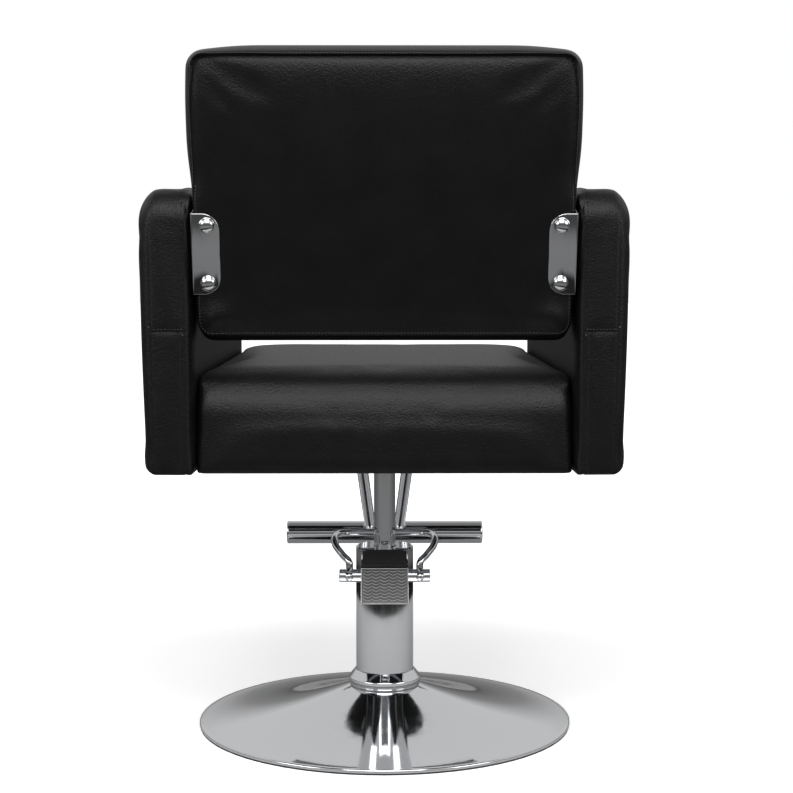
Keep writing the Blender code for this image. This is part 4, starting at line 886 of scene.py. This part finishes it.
def makeArms():
    a, t = arm, armThread
    shape = armShape()
    span = a["seamOut"] - a["seamIn"]
    widths = [(a["seamIn"] + span * k / t["points"]) * t["narrow"] for k in range(t["points"] + 1)]
    knots = ((a["seamIn"] + t["knotIn"][0], a["crossSeam"] + t["knotIn"][1]),
             (a["seamOut"] + t["knotOut"][0], a["crossSeam"] + t["knotOut"][1]))
    for sign, word in ((1, "left"), (-1, "right")):
        turn = Matrix.Rotation(math.radians(-sign * a["toeIn"]), 4, "Z")
        place = Matrix.Translation((sign * a["inner"], a["rear"], a["bottom"])) @ turn
        pad = keepPad(shape, "armPad_" + word, place @ Matrix.Diagonal((sign, 1, 1, 1)), "chair",
                      ["arm_pad_" + word])
        tree = surfaceOf(pad)
        bm = bmesh.new()
        row = [place @ Vector((sign * x, t["out"], a["crossSeam"] + t["up"])) for x in widths]
        stitchRow(bm, tree, row, stitch["pitch"], stitch["size"])
        for x, z in knots:
            knot = [place @ Vector((sign * x, t["out"], z + k * t["knotLength"])) for k in (0, 1)]
            stitchRow(bm, tree, knot, stitch["knotPitch"], stitch["knot"])  # the sewn-off thread ends
        keepPiece(bm, "armStitching_" + word, thread, "chair")


makeArms()
print("arms made")


# seat: deep box cushion with a low crown and a big soft rear edge
seat = {"bottom": 0.392, "half": 0.2413, "rear": 0.255, "front": -0.27, "height": 0.129, "crown": 0.0060,
        "taper": 2.4, "rearEdge": 0.054, "sideEdge": 0.012, "frontEdge": 0.036, "footEdge": 0.005,
        "rearCorner": 0.014, "footCorner": 0.005, "cornerFade": 0.07, "frontCorner": 0.030, "crownFade": 0.11,
        "crownRear": 0.19, "crownFrom": 0.006, "fastened": 0.006, "step": 0.0072, "pressure": 3.0,
        "limit": 0.0030, "fill": 0.85}


def makeSeat():
    s = seat
    lines = (spaced(-s["half"], s["half"], s["step"]), spaced(s["front"], s["rear"], s["step"]),
             spaced(0, s["height"], s["step"], tight=grid["tight"]))
    bm = gridBox((-s["half"], s["front"], 0), (s["half"], s["rear"], s["height"]), lines)
    slant = math.tan(math.radians(s["taper"]))
    held = []
    for vert in bm.verts:
        x, y, z = vert.co
        sign = -1 if x < 0 else 1
        side = s["half"] - abs(x)
        nearRear = y > 0
        back = s["rear"] - y if nearRear else y - s["front"]
        up = z > s["height"] / 2
        level = s["height"] - z if up else z
        onTop = up and level < 1e-5
        rearCorner = s["footCorner"] + (s["rearCorner"] - s["footCorner"]) * easeIn(z / s["cornerFade"])
        side, back = roundOff(side, back, rearCorner if nearRear else s["frontCorner"])
        if up:
            back, level = roundOff(back, level, s["rearEdge"] if nearRear else s["frontEdge"])
            side, level = roundOff(side, level, s["sideEdge"])
        else:
            back, level = roundOff(back, level, s["footEdge"])
            side, level = roundOff(side, level, s["footEdge"])
        y = s["rear"] - back if nearRear else back + s["front"]
        z = s["height"] - level if up else level
        if onTop:
            reach = s["crownRear"] if nearRear else s["crownFade"]
            z += s["crown"] * easeOut(side / s["crownFade"]) * easeOut((back - s["crownFrom"]) / reach)
        x = sign * (s["half"] - side) * (1 - slant * (s["rear"] - y) / s["half"])
        vert.co = (x, y, z + s["bottom"])
        held.append(1.0 if z < s["fastened"] else 0.0)
    shape = swell(bm, held, s["pressure"], s["limit"])
    keepPad(shape, "seatPad", Matrix(), "chair", ["seat_cushion"])


makeSeat()
print("seat made")


# backrest: flat boxed cushion, rear and front panels sewn to a narrow band
back = {"half": 0.23755, "height": 0.3586, "thick": 0.060, "step": 0.0072, "seam": 0.0030, "groove": 0.0016,
        "corner": 0.018, "topBulge": 0.003, "bottomBulge": 0.014, "sideBulge": 0.0015, "crownFade": 0.15,
        "rearRim": 0.0026, "rearFade": 0.008, "rearCrown": 0.0075,
        "frontRim": 0.0060, "frontFade": 0.014, "frontCrown": 0.016,
        "topFall": 0.0120, "topFade": 0.022, "armLevel": 0.165, "sideFall": 0.0050, "sideFade": 0.010,
        "sideRise": 0.05, "cornerDrop": 0.0110, "dropWidth": 0.085, "dropDepth": 0.05,
        "sideTaper": 0.0095, "taperRise": 0.06, "taperRear": 0.4, "pressure": 3.0, "limit": 0.0022,
        "fill": 0.85, "pushed": ((0.212, 0.026, 0.0085, 0.013), (0.222, 0.180, 0.0012, 0.014),
                                 (0.188, 0.105, 0.0010, 0.016))}  # x, z, height and spread
flare = {"most": 0.0060, "from": 0.150, "rise": 0.10, "easeShare": 0.35, "easeFrom": 0.285, "easeRise": 0.07}
backThread = {"corner": 0.016, "inset": 0.0035, "out": 0.003, "turn": 15}


def backFlare(z):
    wide = easeIn((z - flare["from"]) / flare["rise"])
    less = easeIn((z - flare["easeFrom"]) / flare["easeRise"])
    return flare["most"] * wide * (1 - flare["easeShare"] * less)


def panelCrown(side, level, rim, fade, crown):
    # a quick rise off the seam and a slow one to the middle
    quick = rim * (1 - math.exp(-side / fade)) * (1 - math.exp(-level / fade))
    slow = (crown - rim) * easeIn(side / back["crownFade"]) * easeIn(level / back["crownFade"])
    return quick + slow


def makeBackrest():
    b = back
    frontSeam = -b["thick"] + b["seam"]
    lines = (spaced(-b["half"], b["half"], b["step"]),
             spaced(-b["thick"], 0, b["step"], (-b["seam"], frontSeam)),
             spaced(0, b["height"], b["step"]))
    bm = gridBox((-b["half"], -b["thick"], 0), (b["half"], 0, b["height"]), lines)
    held = []
    for vert in bm.verts:
        x, y, z = vert.co
        sign = -1 if x < 0 else 1
        side = b["half"] - abs(x)
        up = z > b["height"] / 2
        level = b["height"] - z if up else z
        onSeam = min(side, level) < 1e-5 and (abs(y + b["seam"]) < 1e-5 or abs(y - frontSeam) < 1e-5)
        side, level = roundOff(side, level, b["corner"])
        if y > -1e-5:
            y += panelCrown(side, level, b["rearRim"], b["rearFade"], b["rearCrown"])
            if up:  # the panel's top rolls over and takes the light
                y -= b["topFall"] * math.exp(-level / b["topFade"])
            y -= b["sideFall"] * math.exp(-side / b["sideFade"]) * easeIn((z - b["armLevel"]) / b["sideRise"])
            for spotX, spotZ, tall, wide in b["pushed"]:  # foam that the brackets push out beside them
                y += tall * math.exp(-((abs(x) - spotX) ** 2 + (z - spotZ) ** 2) / (2 * wide * wide))
        elif y < -b["thick"] + 1e-5:
            y -= panelCrown(side, level, b["frontRim"], b["frontFade"], b["frontCrown"])
        else:
            share = math.sin(math.pi * min(1.0, max(0.0, -y / b["thick"])))
            bulge = b["topBulge"] if up else b["bottomBulge"]
            if level < b["corner"]:
                level -= bulge * share * easeIn(1 - level / b["corner"])
            if side < b["corner"]:
                side -= b["sideBulge"] * share * easeIn(1 - side / b["corner"])
            if onSeam and level < side:
                level += b["groove"]
            elif onSeam:
                side += b["groove"]
        z = b["height"] - level if up else level
        deep = y / b["thick"]
        if up and level < b["dropDepth"]:
            drop = max(0.0, max(0.0, 1 - side / b["dropWidth"]) ** 2 * min(1.0, -deep))
            z -= b["cornerDrop"] * drop * (1 - level / b["dropDepth"])  # the front's top corners are rounder
        x = sign * (b["half"] - side + backFlare(z) * (1 - side / b["half"]))
        taper = b["sideTaper"] * easeIn((z - b["armLevel"]) / b["taperRise"])
        x *= 1 - taper / b["half"] * (b["taperRear"] + max(-1.0, min(0.0, deep)))  # wider to the front
        vert.co = (x, y, z)
        held.append(1.0 if onSeam else 0.0)
    shape = swell(bm, held, b["pressure"], b["limit"])
    pad = keepPad(shape, "backrestPad", leanBack, "chair", ["backrest_cushion"])

    tree = surfaceOf(pad)
    bm = bmesh.new()
    r, inset, out = backThread["corner"], backThread["inset"], backThread["out"]
    half, low, high = b["half"] - inset, r + inset, b["height"] - r - inset
    corners = ((half - r, low, 270), (half - r, high, 0), (-half + r, high, 90), (-half + r, low, 180))
    for y in (out, -b["thick"] - out):
        loop = []
        for middleX, middleZ, start in corners:
            angles = [math.radians(start + a) for a in range(0, 91, backThread["turn"])]
            loop += [Vector((middleX + r * math.cos(a), y, middleZ + r * math.sin(a))) for a in angles]
        for point in loop:
            point.x += math.copysign(backFlare(point.z), point.x) * abs(point.x) / half
        loop.append(loop[0])
        stitchRow(bm, tree, [leanBack @ p for p in loop], stitch["pitch"], stitch["size"])
    keepPiece(bm, "backrestStitching", thread, "chair")


makeBackrest()
print("backrest made")
